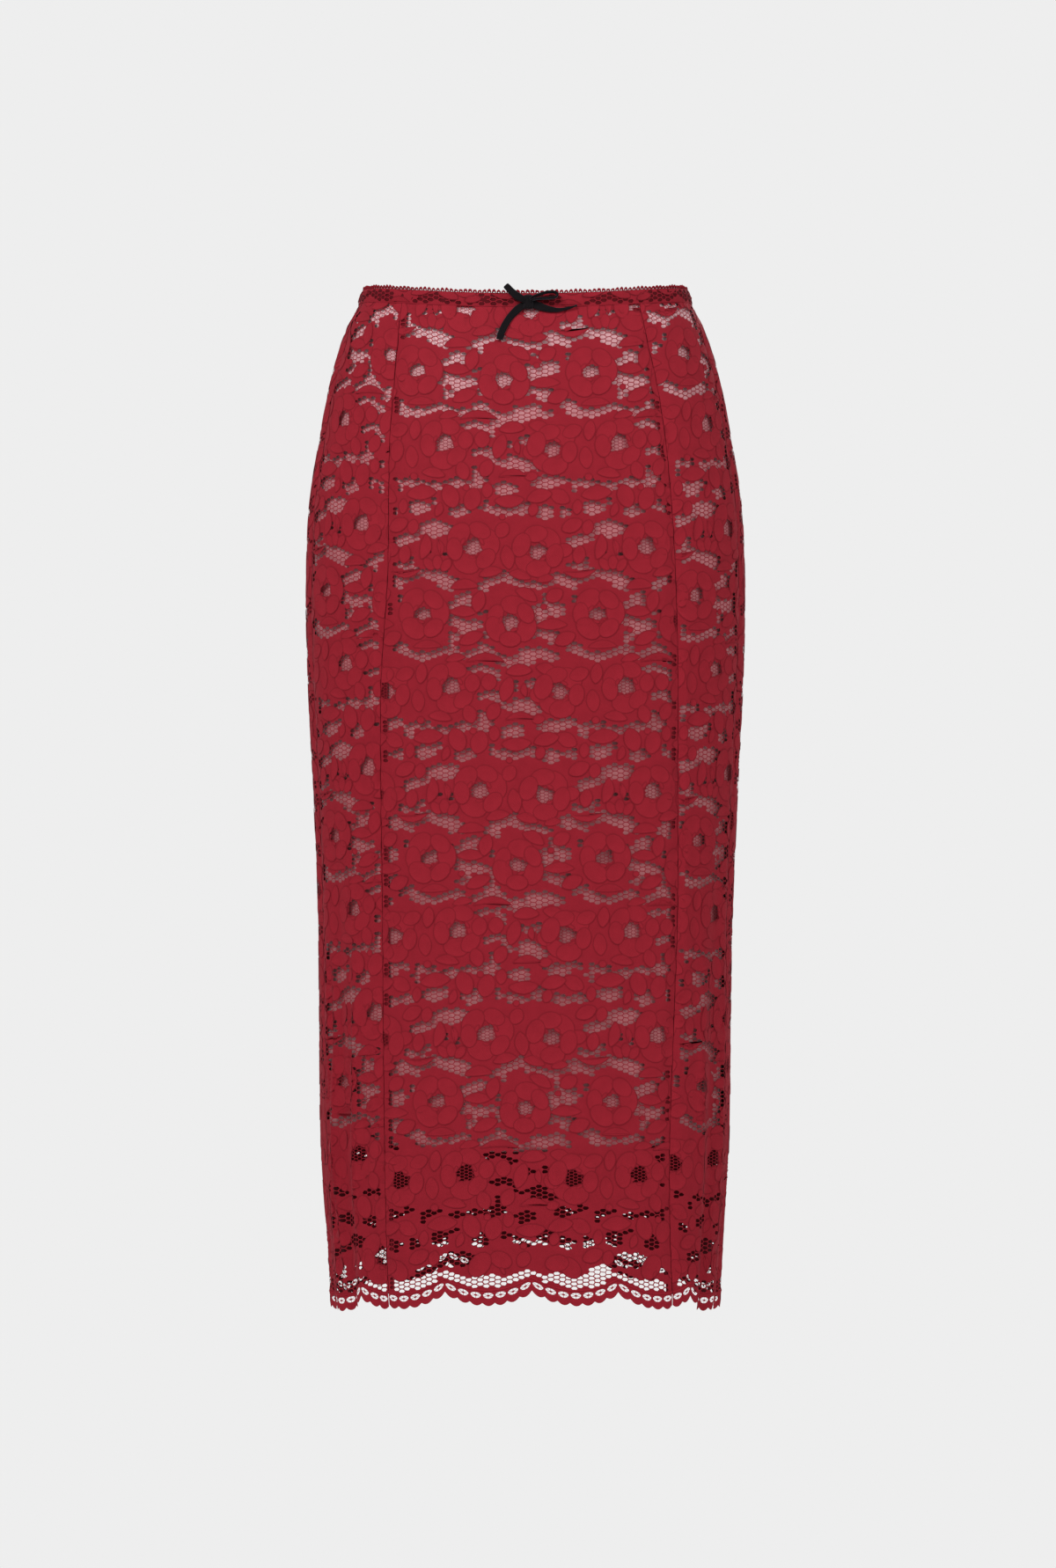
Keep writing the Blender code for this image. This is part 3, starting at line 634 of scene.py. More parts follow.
def shape_from(mesh):
    """A bmesh of what a mesh holds; the mesh is removed."""
    shape = bmesh.new()
    shape.from_mesh(mesh)
    bpy.data.meshes.remove(mesh)
    return shape


def turn_shape(shape, degrees, axis):
    """Turn all of a bmesh about an axis through the origin."""
    bmesh.ops.rotate(shape, cent=(0, 0, 0), matrix=Matrix.Rotation(math.radians(degrees), 3, axis),
                     verts=shape.verts)


def add_object(name, data):
    made = bpy.data.objects.new(name, data)
    bpy.context.scene.collection.objects.link(made)
    return made


def add_piece(name, mesh, material, replaces=()):
    """A finished piece of the skirt, riding on its one body."""
    piece = add_object(name, mesh)
    mesh.materials.append(material)
    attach(piece, "root")
    if replaces:
        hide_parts(*replaces)
    return piece


def thicken(piece, name, thickness, offset):
    """Give a piece its wall."""
    wall = piece.modifiers.new(name, "SOLIDIFY")
    wall.thickness = thickness
    wall.offset = offset


def round_off(piece):
    """Round a piece by one subdivision."""
    rounding = piece.modifiers.new("Round", "SUBSURF")
    rounding.levels = rounding.render_levels = 1


def arrayed(mesh, steps):
    """A mesh repeated by Array modifiers: steps is a list of (count, offset)."""
    thing = add_object("arrayed", mesh)
    for count, offset in steps:
        array = thing.modifiers.new("Repeat", "ARRAY")
        array.use_relative_offset = False
        array.use_constant_offset = True
        array.constant_offset_displace = offset
        array.count = count
    bpy.context.view_layer.update()
    graph = bpy.context.evaluated_depsgraph_get()
    made = bpy.data.meshes.new_from_object(thing.evaluated_get(graph))
    bpy.data.objects.remove(thing)
    bpy.data.meshes.remove(mesh)
    return made


def honeycomb(left, right, low, high, column, pitch):
    """Flat net cells over a rectangle, joined along their sides, as a bmesh."""
    shape = bmesh.new()
    bmesh.ops.create_circle(shape, cap_ends=True, radius=1.0, segments=6)
    turn_shape(shape, 30.0, "Z")
    bmesh.ops.scale(shape, vec=(column / 1.5, pitch / math.sqrt(3.0), 1.0), verts=shape.verts)
    again = bmesh.ops.duplicate(shape, geom=shape.verts[:] + shape.edges[:] + shape.faces[:])
    copies = [part for part in again["geom"] if isinstance(part, bmesh.types.BMVert)]
    bmesh.ops.translate(shape, vec=(column, 0.5 * pitch, 0.0), verts=copies)
    bmesh.ops.translate(shape, vec=(left, low, 0.0), verts=shape.verts)
    across = int((right - left) / (2.0 * column)) + 2
    up = int((high - low) / pitch) + 2
    steps = [(across, (2.0 * column, 0.0, 0.0)), (up, (0.0, pitch, 0.0))]
    shape = shape_from(arrayed(mesh_from(shape, "cells"), steps))
    bmesh.ops.remove_doubles(shape, verts=shape.verts, dist=0.1 * pitch)
    if sum(face.calc_area() * face.normal.z for face in shape.faces) < 0.0:
        bmesh.ops.reverse_faces(shape, faces=shape.faces)
    return shape


def pierce(shape, faces, strand):
    """Open the given cells, leaving a strand along their sides."""
    bmesh.ops.inset_individual(shape, faces=faces, thickness=strand, use_even_offset=True)
    bmesh.ops.delete(shape, geom=faces, context="FACES")


def marked(faces, marks):
    return [faces[index] for index in np.nonzero(marks)[0]]


def to_chart(panel, arc, drop):
    """Chart steps of a place on a panel."""
    return arc / CHART_ACROSS - panel.chart_x, drop / CHART_DOWN - panel.chart_y


def chart_inside(chart_x, chart_y, oval):
    """Which chart places lie in an oval or in any of its repeats."""
    cosine, sine = math.cos(math.radians(oval.turn)), math.sin(math.radians(oval.turn))
    found = np.zeros(len(chart_x), bool)
    row = np.floor(chart_y / REPEAT_DOWN)
    for step in (-1.0, 0.0, 1.0):
        repeat = row + step
        away_x = (chart_x - REPEAT_DRIFT * repeat - oval.x + 0.5 * REPEAT_ACROSS) % REPEAT_ACROSS
        away_x = away_x - 0.5 * REPEAT_ACROSS
        away_y = -(chart_y - REPEAT_DOWN * repeat - oval.y)
        along = away_x * cosine + away_y * sine
        over = away_y * cosine - away_x * sine
        found |= (along / oval.across) ** 2 + (over / oval.down) ** 2 < 1.0
    return found


def arch_lift(rise, place):
    """Height of a row of arches above their lowest points, each one long."""
    return rise * (2.0 * (place % 1.0) - 1.0) ** 2


def scallop_place(panel, bump):
    """How many scallops a bump of a hem is past the first deep notch."""
    return (bump - panel.first_notch) / BUMPS_IN_SCALLOP


def border_net_height(panel, bump):
    """Height of the open net above the cord: tallest over each scallop, uneven from one to the next."""
    scallop = scallop_place(panel, bump)
    arch = np.sqrt(np.maximum(1.0 - (2.0 * (scallop % 1.0) - 1.0) ** 2, 0.0))
    least, fine, slow = BORDER_NET_UNEVEN
    uneven = least + fine * np.sin(2.3 * bump + 0.6) + slow * np.sin(0.9 * bump + np.floor(scallop))
    return BORDER_NET_LEAST + BORDER_NET * arch * uneven


def lower_edges(panel, arc, drop):
    """The drops where a strip's ground ends, at the cord, and where its open border net starts."""
    if panel is CASING_LACE:
        ends = np.full(len(arc), BAND_HEIGHT - CASING_EDGE)
        return ends, np.full(len(arc), SIDE_LENGTH)
    first, last = FORM.span(panel, drop)
    bump = (arc - first) / (last - first) * panel.bumps
    cord = SIDE_LENGTH - arch_lift(SCALLOP_RISE, scallop_place(panel, bump)) - BORDER_HEIGHT
    return cord, cord - border_net_height(panel, bump)


def casing_ripple(arc, drop):
    """Fine uneven gathers of the elastic casing."""
    ripple = 0.3 * np.sin(arc / 1.5 + 1.3 * np.sin(arc / 11.0)) + 0.22 * np.sin(arc / 4.7)
    return ripple * np.sin(math.pi * np.clip(drop / BAND_HEIGHT, 0.0, 1.0))


def strip_reach(panel):
    """The least and greatest arc of a strip of lace, and the drops where it starts and ends."""
    is_casing = panel is CASING_LACE
    bottom = BAND_HEIGHT if is_casing else SIDE_LENGTH
    first, last = FORM.span(panel, FORM.drops[FORM.drops <= bottom + FORM_DROP_STEP])
    return first.min(), last.max(), CASING_EDGE if is_casing else LACE_TOP - CASING_TUCK, bottom


def keep_on_strip(panel, mesh, arc, drop, low, height, wanted=True):
    """Draw a flat mesh's points back to a strip's edges; which faces were wholly and partly on it."""
    first, last = FORM.span(panel, drop)
    top = strip_reach(panel)[2]
    inside = wanted & (arc > first) & (arc < last) & (drop > top) & (drop < low)
    half_gap = 0.0 if panel is CASING_LACE else 0.5 * SEAM_GAP
    arc, drop = np.clip(arc, first + half_gap, last - half_gap), np.clip(drop, top, low)
    set_mesh_points(mesh, np.stack((arc, -drop, height), axis=1))
    corners = inside[read_values(mesh.loops, "vertex_index")]
    starts = read_values(mesh.polygons, "loop_start")
    return np.logical_and.reduceat(corners, starts), np.logical_or.reduceat(corners, starts)


def lay_strip(panel, shape, name):
    """A piece of a strip of lace, laid on the form from flat."""
    mesh = mesh_from(shape, name)
    flat = mesh_points(mesh)
    arc, drop = flat[:, 0], -flat[:, 1]
    if panel is CASING_LACE:
        out = CASING_LIFT + casing_ripple(arc, drop) + np.interp(drop, CASING_DROPS, CASING_FULLNESS)
    else:
        out = FORM.lace_out(arc, drop)
    return lay(mesh, arc, drop, out + flat[:, 2])


def net_openings(panel, arc, drop):
    """Which cells of a strip's net are open, which the fine net of the eyes takes, and their strands."""
    chart_x, chart_y = to_chart(panel, arc, drop)
    border = lower_edges(panel, arc, drop)[1]
    is_back = panel.name == "back_panel"
    share = np.ones(len(arc))
    strand = np.full(len(arc), panel.strand)
    for row in LOW_NET:
        below = drop > row.drop
        share = np.where(below, row.back_share if is_back else row.front_share, share)
        strand = np.where(below & is_back, row.back_strand, strand)
    is_open = drop > border
    strand = np.where(is_open, max(panel.strand, BORDER_STRAND), strand)
    for oval in OPENINGS:
        tall = oval.down > oval.across
        across = share * (oval.across + (0.0 if tall else OPEN_EASE_ACROSS))
        down = share * (OPEN_TALL * oval.down if tall else oval.down + OPEN_EASE_DOWN)
        is_open |= chart_inside(chart_x, chart_y, oval._replace(across=across, down=down))
    taken = np.zeros(len(arc), bool)
    for flower in FLOWERS if panel is not CASING_LACE else ():
        eye = Opening(flower.x, flower.y, flower.eye_across - EYE_EASE, flower.eye_down - EYE_EASE, 0.0)
        taken |= chart_inside(chart_x, chart_y, eye)
    taken &= drop < border - EYE_CLEAR
    if is_back:
        taken &= drop < LOW_NET[0].drop
    return is_open, taken, strand


def build_net(panel):
    """The ground of one strip of lace: open cells where the chart is open, closed cloth elsewhere."""
    name = "lace_" + panel.name
    left, right, top, bottom = strip_reach(panel)
    mesh = mesh_from(honeycomb(left - NET_MARGIN, right + NET_MARGIN, -bottom - NET_MARGIN,
                               -top + NET_MARGIN, NET_COLUMN, NET_PITCH), name)
    points = mesh_points(mesh)
    arc, drop = points[:, 0], -points[:, 1]
    waver_arc = NET_WAVER * np.sin(arc * 0.83 + drop * 1.31)
    waver_drop = NET_WAVER * np.sin(arc * 1.27 - drop * 0.71)
    arc, drop = arc + waver_arc, drop + NET_WAVER_DOWN * waver_drop
    low = lower_edges(panel, arc, drop)[0]
    whole, some = keep_on_strip(panel, mesh, arc, drop, low, np.zeros(len(arc)))
    centres = read_values(mesh.polygons, "center", 3, np.float32)
    is_open, taken, strand = net_openings(panel, centres[:, 0], -centres[:, 1])
    shape = shape_from(mesh)
    faces = shape.faces[:]
    bmesh.ops.delete(shape, geom=marked(faces, ~some | taken), context="FACES")
    cut = is_open & whole & ~taken
    for size in np.unique(strand[cut]):
        pierce(shape, marked(faces, cut & (strand == size)), float(size))
    return lay_strip(panel, shape, name)


def add_plate(shape, layers, number, level, x, y, long, wide, turn, bend, point, sides):
    """One piece of clothwork: an oval drawn to points, bent and turned, with a raised rim."""
    def mark(verts, edge):
        for vert in verts:
            vert[layers[0]] = edge
            vert[layers[1]] = number

    verts = bmesh.ops.create_circle(shape, cap_ends=True, radius=1.0, segments=sides)["verts"]
    face = verts[0].link_faces[0]
    if face.normal.z < 0.0:
        face.normal_flip()
    cosine, sine = math.cos(math.radians(turn)), math.sin(math.radians(turn))
    for vert in verts:
        along, over = vert.co.x, vert.co.y
        over *= 1.0 - PLATE_POINT * point * along * along
        over = over * wide + bend * (1.0 - along * along)
        along *= long
        vert.co = Vector((along * cosine - over * sine, along * sine + over * cosine, level))
        vert.co.x = (vert.co.x + x) * CHART_ACROSS
        vert.co.y = (vert.co.y - y) * CHART_DOWN
    # The edge marks say where the lace material paints shade: fully on the outer rim, 0.9 on the first
    # inset and none inside.
    mark(verts, 1.0)
    rim = min(PLATE_RIM, PLATE_RIM_LEAST * wide * CHART_ACROSS)
    for thickness, depth, edge in ((rim, PLATE_RISE, 0.9), (0.5 * rim, -0.5 * PLATE_RISE, 0.0)):
        bmesh.ops.inset_region(shape, faces=[face], thickness=thickness, depth=depth,
                               use_even_offset=True, use_boundary=True)
        mark(face.verts, edge)
    if abs(bend) < 0.5 * wide:
        middle = bmesh.ops.poke(shape, faces=[face])["verts"]
        middle[0].co.z += PLATE_MIDDLE * PLATE_RISE
        mark(middle[:1], 0.0)


def round_flower(flower, share, across, down):
    """A place round a flower's middle, at a share of the turn, and the turn there in degrees."""
    angle = flower.turn + 360.0 * share / flower.petals
    turn = math.radians(angle)
    return flower.x + across * math.cos(turn), flower.y - down * math.sin(turn), angle


def chart_plates():
    """Every plate of the repeat, as the values that add_plate takes after its level."""
    rows = []
    for flower in FLOWERS:
        reach = PETAL_REACH * flower.radius
        for petal in range(flower.petals):
            share = petal + 0.13 * math.sin(2.4 * petal + flower.x)
            x, y, angle = round_flower(flower, share, reach, reach)
            grow = 1.0 + 0.09 * math.sin(3.1 * petal + flower.y)
            rows.append((x, y, PETAL_LONG * flower.radius * grow, PETAL_WIDE * flower.radius * grow, angle,
                         0.0, 0.0, PETAL_SIDES))
        for petal in range(0, flower.petals, 2):
            x, y, angle = round_flower(flower, petal + STAMEN_TURN, STAMEN_REACH * flower.eye_across,
                                       STAMEN_REACH * flower.eye_down)
            rows.append((x, y, STAMEN_LONG * flower.radius, STAMEN_WIDE * flower.radius, angle, 0.0, 0.1,
                         SMALL_SIDES))
    for motif in MOTIFS:
        if motif.long < MOTIF_DOT:
            rows.append((*motif, SMALL_SIDES))
        else:
            grown = motif._replace(long=MOTIF_LONG * motif.long, wide=MOTIF_WIDE * motif.wide)
            rows.append((*grown, PETAL_SIDES))
    return rows


def repeat_tile():
    """One repeat of the clothwork, with the fine net of the flower eyes, and how many plates it has."""
    shape = bmesh.new()
    layers = (shape.verts.layers.float.new("edge"), shape.verts.layers.int.new("plate"))
    rows = chart_plates()
    for number, row in enumerate(rows):
        add_plate(shape, layers, number, PLATE_LIFT + PLATE_LEVEL * (number % PLATE_LEVELS), *row)
    for number, flower in enumerate(FLOWERS, len(rows)):
        across, down = flower.eye_across * CHART_ACROSS, flower.eye_down * CHART_DOWN
        middle = Vector((flower.x * CHART_ACROSS, -flower.y * CHART_DOWN, FINE_LIFT))
        eye = honeycomb(-across, across, -down, down, FINE_COLUMN, FINE_PITCH)
        far = [face for face in eye.faces
               if (face.calc_center_median().x / across) ** 2
               + (face.calc_center_median().y / down) ** 2 > 1.0]
        bmesh.ops.delete(eye, geom=far, context="FACES")
        pierce(eye, eye.faces[:], FINE_STRAND)
        bmesh.ops.translate(eye, vec=middle, verts=eye.verts)
        made = mesh_from(eye, "eye")
        before = len(shape.verts)
        shape.from_mesh(made)
        bpy.data.meshes.remove(made)
        shape.verts.ensure_lookup_table()
        edge_layer, plate_layer = shape.verts.layers.float["edge"], shape.verts.layers.int["plate"]
        # The eye nets are darkened half as much as the plate rims.
        for vert in shape.verts[before:]:
            vert[edge_layer] = 0.5
            vert[plate_layer] = number
    return mesh_from(shape, "repeat"), len(rows) + len(FLOWERS)


def build_clothwork(panel, tile, plates):
    """The raised flowers and leaves of one strip, arrayed over it and cut back to its edges."""
    left, right, top, bottom = strip_reach(panel)
    left, top = to_chart(panel, left, top)
    right, bottom = to_chart(panel, right, bottom)
    row_first = math.floor(top / REPEAT_DOWN) - 1
    rows = math.ceil(bottom / REPEAT_DOWN) - row_first + 1
    column_first = math.floor(left / REPEAT_ACROSS) - 1
    columns = math.ceil(right / REPEAT_ACROSS) - column_first + 1
    mesh = arrayed(tile.copy(), [
        (columns, (REPEAT_ACROSS * CHART_ACROSS, 0.0, 0.0)),
        (rows, (REPEAT_DRIFT * CHART_ACROSS, -REPEAT_DOWN * CHART_DOWN, 0.0)),
    ])
    points = mesh_points(mesh)
    copy = np.arange(len(points)) // len(tile.vertices)
    numbers = read_values(mesh.attributes["plate"].data, "value") + plates * copy
    start_x = panel.chart_x + REPEAT_ACROSS * column_first + REPEAT_DRIFT * row_first
    start_y = panel.chart_y + REPEAT_DOWN * row_first
    arc = points[:, 0] + start_x * CHART_ACROSS
    drop = -points[:, 1] + start_y * CHART_DOWN
    count = np.maximum(np.bincount(numbers), 1)
    plate_arc, plate_drop = ((np.bincount(numbers, places) / count)[numbers] for places in (arc, drop))
    border = lower_edges(panel, plate_arc, plate_drop)[1]
    is_eye = numbers % plates >= plates - len(FLOWERS)
    border = border + np.where(is_eye, -EYE_CLEAR, PLATE_OVERHANG)
    low = lower_edges(panel, arc, drop)[0] - BORDER_CLEAR
    _, some = keep_on_strip(panel, mesh, arc, drop, low, points[:, 2], plate_drop < border)
    shape = shape_from(mesh)
    bmesh.ops.delete(shape, geom=marked(shape.faces[:], ~some), context="FACES")
    return lay_strip(panel, shape, "clothwork_" + panel.name)


def border_step():
    """One bump of the hem border, one unit wide along X with its height along Y from the cut edge."""
    shape = bmesh.new()
    half_x, half_y = EYELET_HALF
    rings = []
    for share, height in EYELET_RINGS:
        made = bmesh.ops.create_circle(shape, cap_ends=False, radius=1.0, segments=EYELET_SIDES)
        for vert in made["verts"]:
            x, y = vert.co.x, vert.co.y
            square = max(abs(x), abs(y))
            side_y = y / square
            side_y *= BORDER_HEIGHT - EYELET_HEIGHT if side_y > 0.0 else EYELET_HEIGHT
            vert.co = (0.5 + (1.0 - share) * x * half_x / BORDER_PITCH + share * (x / square * 0.5),
                       EYELET_HEIGHT + (1.0 - share) * y * half_y + share * side_y, height)
        rings.append(list({edge for vert in made["verts"] for edge in vert.link_edges}))
    for inner, outer in zip(rings, rings[1:]):
        bmesh.ops.bridge_loops(shape, edges=inner + outer)
    made = bmesh.ops.create_circle(shape, cap_ends=True, radius=1.0, segments=8)
    dot_x, dot_y = EYELET_DOT
    bmesh.ops.scale(shape, vec=(dot_x / BORDER_PITCH, dot_y, 1.0), verts=made["verts"])
    bmesh.ops.translate(shape, vec=(0.5, EYELET_HEIGHT, 0.4), verts=made["verts"])
    for bar in range(EYELET_BARS):
        made = bmesh.ops.create_grid(shape, x_segments=1, y_segments=1, size=0.5)
        angle = math.tau * (bar + 0.5) / EYELET_BARS
        for vert in made["verts"]:
            along = 0.2 + 0.85 * (vert.co.x + 0.5)
            over = 0.3 * vert.co.y
            x = along * math.cos(angle) * half_x - over * math.sin(angle)
            y = along * math.sin(angle) * half_y + over * math.cos(angle)
            vert.co = Vector((0.5 + x / BORDER_PITCH, EYELET_HEIGHT + y, 0.3))
    made = bmesh.ops.create_grid(shape, x_segments=4, y_segments=4, size=0.5)
    for vert in made["verts"]:
        rise = math.cos(math.pi * vert.co.y)
        vert.co = Vector((vert.co.x + 0.5, BORDER_HEIGHT + 2.0 * CORD_HALF * vert.co.y,
                          0.1 + CORD_RISE * rise))
    bmesh.ops.recalc_face_normals(shape, faces=shape.faces)
    for face in shape.faces:
        if face.normal.z < 0.0:
            face.normal_flip()
    return mesh_from(shape, "border_step")


def build_border(panel):
    """The scalloped edge of one panel."""
    shape = shape_from(arrayed(border_step(), [(panel.bumps, (1.0, 0.0, 0.0))]))
    bmesh.ops.remove_doubles(shape, verts=shape.verts, dist=0.0005)
    mesh = mesh_from(shape, "hem_border_" + panel.name)
    bump, height, out = mesh_points(mesh).T
    up = np.clip(height / BORDER_HEIGHT, 0.0, 1.0)
    lift = (arch_lift(SCALLOP_RISE, scallop_place(panel, bump))
            + arch_lift(BUMP_RISE, bump - panel.first_notch) * (1.0 - up) ** BUMP_EASE)
    drop = SIDE_LENGTH - lift - height
    first, last = FORM.span(panel, drop)
    first, last = first + 0.5 * SEAM_GAP, last - 0.5 * SEAM_GAP
    arc = first + (last - first) * bump / panel.bumps
    return lay(mesh, arc, drop, FORM.lace_out(arc, drop) + out)


def laid_grid(name, columns, rows, place):
    """A grid whose points are laid by place(across, down), both from 0 to 1, as (arc, drop, out)."""
    shape = bmesh.new()
    bmesh.ops.create_grid(shape, x_segments=columns, y_segments=rows, size=0.5)
    mesh = mesh_from(shape, name)
    points = mesh_points(mesh)
    return lay(mesh, *place(points[:, 0] + 0.5, 0.5 - points[:, 1]))


def build_lining(lining):
    """A lining panel, a little eased, with its hem lower at the front and the back."""
    def place(across, down):
        drop = LACE_TOP + (LINING_SIDE_LENGTH - LACE_TOP) * down
        first, last = FORM.span(lining, drop)
        arc = first + 0.5 * LINING_SEAM_GAP + (last - first - LINING_SEAM_GAP) * across
        cosine = FORM.look_up("cosine", arc, drop)
        lowest = smooth_step((drop - LINING_EXTRA_TOP) / (LINING_SIDE_LENGTH - LINING_EXTRA_TOP))
        extra = LINING_FRONT_EXTRA * lowest * cosine * cosine
        return arc, drop + extra, FORM.lining_out(arc, drop)
    return laid_grid(lining.name + "_cloth", lining.columns, LINING_ROWS, place)


def build_allowance(name, seam, side, width, columns):
    """The lace turned in along a seam, on the inner side of the cloth."""
    def place(across, down):
        drop = LACE_TOP + ALLOWANCE_TOP + (SIDE_LENGTH - LACE_TOP - ALLOWANCE_SHORTER) * down
        inwards = width * (across if side > 0.0 else 1.0 - across) - ALLOWANCE_OVERLAP
        arc = FORM.seam(seam, drop) + side * inwards
        return arc, drop, FORM.lace_out(arc, drop) - ALLOWANCE_BEHIND
    return laid_grid(name, columns, ALLOWANCE_ROWS, place)


def build_band():
    """The soft closed casing of the waist, with small uneven ripples."""
    rows = len(BAND_LOOP)
    shape = bmesh.new()
    bmesh.ops.create_grid(shape, x_segments=BAND_COLUMNS, y_segments=rows, size=0.5)
    mesh = mesh_from(shape, "casing_loop")
    points = mesh_points(mesh)
    place = np.rint((0.5 - points[:, 1]) * rows).astype(int) % rows
    out, drop = np.array(BAND_LOOP)[place].T
    arc = (points[:, 0] + 0.5) * FORM.length(drop)
    out = out + np.where(out > -1.0, casing_ripple(arc, drop), 0.0)
    add_cloth_map(mesh, arc, -(points[:, 1] + 0.5) * BAND_ROUND)
    set_mesh_points(mesh, FORM.wrap(arc, drop, out))
    shape = shape_from(mesh)
    bmesh.ops.remove_doubles(shape, verts=shape.verts, dist=0.01 * MM)
    mesh = mesh_from(shape, "casing_loop")
    mesh.shade_smooth()
    return mesh


def build_picots():
    """Small thread loops in a row on top of the waistband."""
    shape = bmesh.new()
    bmesh.ops.create_circle(shape, cap_ends=False, radius=PICOT_THREAD, segments=PICOT_SIDES)
    turn_shape(shape, 90.0, "X")
    bmesh.ops.translate(shape, vec=(PICOT_RADIUS, 0.0, 0.0), verts=shape.verts)
    bmesh.ops.spin(shape, geom=shape.verts[:] + shape.edges[:], cent=(0, 0, 0), axis=(0, 0, 1),
                   angle=math.radians(PICOT_ARC), steps=PICOT_STEPS, use_merge=False)
    turn_shape(shape, 0.5 * (180.0 - PICOT_ARC), "Z")
    bmesh.ops.scale(shape, vec=(PICOT_STRETCH, PICOT_TALL, 1.0), verts=shape.verts)
    bmesh.ops.recalc_face_normals(shape, faces=shape.faces)
    pitch = float(FORM.lengths[0]) / PICOT_COUNT
    bmesh.ops.translate(shape, vec=(0.5 * pitch, PICOT_RISE, 0.0), verts=shape.verts)
    mesh = arrayed(mesh_from(shape, "picot"), [(PICOT_COUNT, (pitch, 0.0, 0.0))])
    mesh.name = "picot_loops"
    arc, up, out = mesh_points(mesh).T
    add_cloth_map(mesh, arc, up)
    uneven = 1.0 + 0.16 * np.sin(arc * 0.37) + 0.1 * np.sin(arc * 1.9)
    points = FORM.wrap(arc, np.zeros(len(arc)), out - PICOT_INWARD)
    points[:, 2] += up * uneven * MM
    set_mesh_points(mesh, points)
    mesh.shade_smooth()
    return mesh


def front_face(x, z):
    """The lace's outer Y at the front, at a sideways place and a height."""
    drop = np.array([max(-z - FRONT_WAIST_DIP, 0.0)])
    width, depth = (float(section_values(column, drop)[0]) for column in ("half_width", "front"))
    return -depth * (1.0 - (abs(x) / width) ** ROUNDNESS) ** (1.0 / ROUNDNESS)


def ribbon_curve(rows):
    """Rows of a ribbon's table, with smooth steps put in between them."""
    finer = []
    last = len(rows) - 1
    for index in range(last):
        around = rows[max(index - 1, 0)], rows[index], rows[index + 1], rows[min(index + 2, last)]
        for step in range(RIBBON_STEPS):
            t = step / RIBBON_STEPS
            values = []
            for a, b, c, d in zip(*around):
                bend = (2.0 * a - 5.0 * b + 4.0 * c - d) * t * t + (3.0 * b - a - 3.0 * c + d) * t ** 3
                values.append(0.5 * (2.0 * b + (c - a) * t + bend))
            finer.append(RibbonRow(*values))
    finer.append(rows[last])
    return finer


def build_ribbon(name, rows):
    """A velvet ribbon along its route, a little cupped across its width."""
    finer = ribbon_curve(rows)
    last = len(finer) - 1
    route = []
    for row in finer:
        x, z = KNOT_X + row.x, KNOT_Z + row.z
        route.append(Vector((x, front_face(x, z) - BAND_BULGE - GAP - row.out, z)))
    frames = []
    lean = math.radians(RIBBON_LEAN.get(name, 0.0))
    side = None
    for index in range(last + 1):
        along = route[min(index + 1, last)] - route[max(index - 1, 0)]
        along.normalize()
        if side is None:
            flat = along.cross(Vector((0.0, -1.0, 0.0))).normalized()
            side = flat * math.cos(lean) + along.cross(flat) * math.sin(lean)
        side = (side - along * side.dot(along)).normalized()
        frames.append((side.copy(), along.cross(side)))
    shape = bmesh.new()
    bmesh.ops.create_grid(shape, x_segments=last, y_segments=RIBBON_COLUMNS, size=0.5)
    for vert in shape.verts:
        index = round((vert.co.x + 0.5) * last)
        place = 2.0 * vert.co.y
        side, out = frames[index]
        cup = RIBBON_CUP * (place * place - 0.4) * math.sin(0.35 * index)
        vert.co = (route[index] + side * place * finer[index].half_width + out * cup) * MM
    bmesh.ops.recalc_face_normals(shape, faces=shape.faces)
    mesh = mesh_from(shape, "velvet_" + name)
    mesh.shade_smooth()
    return mesh


def build_knot():
    """The bow's knot: a soft upright cushion, drawn in at its middle and creased in front."""
    shape = bmesh.new()
    bmesh.ops.create_cube(shape, size=1.0)
    bmesh.ops.subdivide_edges(shape, edges=shape.edges[:], cuts=KNOT_CUTS, use_grid_fill=True)
    middle_y = front_face(KNOT_X, KNOT_Z) - BAND_BULGE - KNOT_GAP - 0.5 * KNOT_SIZE[1]
    for vert in shape.verts:
        x, y, z = (2.0 * part for part in vert.co)
        round_x = math.sqrt(max(1.0 - 0.34 * y * y - 0.1 * z * z, 0.0))
        round_y = math.sqrt(max(1.0 - 0.4 * x * x, 0.0))
        round_z = math.sqrt(max(1.0 - 0.16 * x * x - 0.16 * y * y, 0.0))
        waist = 0.9 + 0.1 * z * z
        crease = 0.10 * math.sin(7.0 * x + 0.8 * z) if y < 0.0 else 0.0
        place = Vector((x * round_x * waist * 0.5 * KNOT_SIZE[0],
                        (y * round_y + crease) * 0.5 * KNOT_SIZE[1], z * round_z * 0.5 * KNOT_SIZE[2]))
        vert.co = (place + Vector((KNOT_X, middle_y, KNOT_Z))) * MM
    mesh = mesh_from(shape, "velvet_bow_knot")
    mesh.shade_smooth()
    return mesh


def shaded(colour, share=1.0):
    """A colour made darker or lighter by a share, with its alpha."""
    return tuple(share * part for part in colour[:3]) + (1.0,)


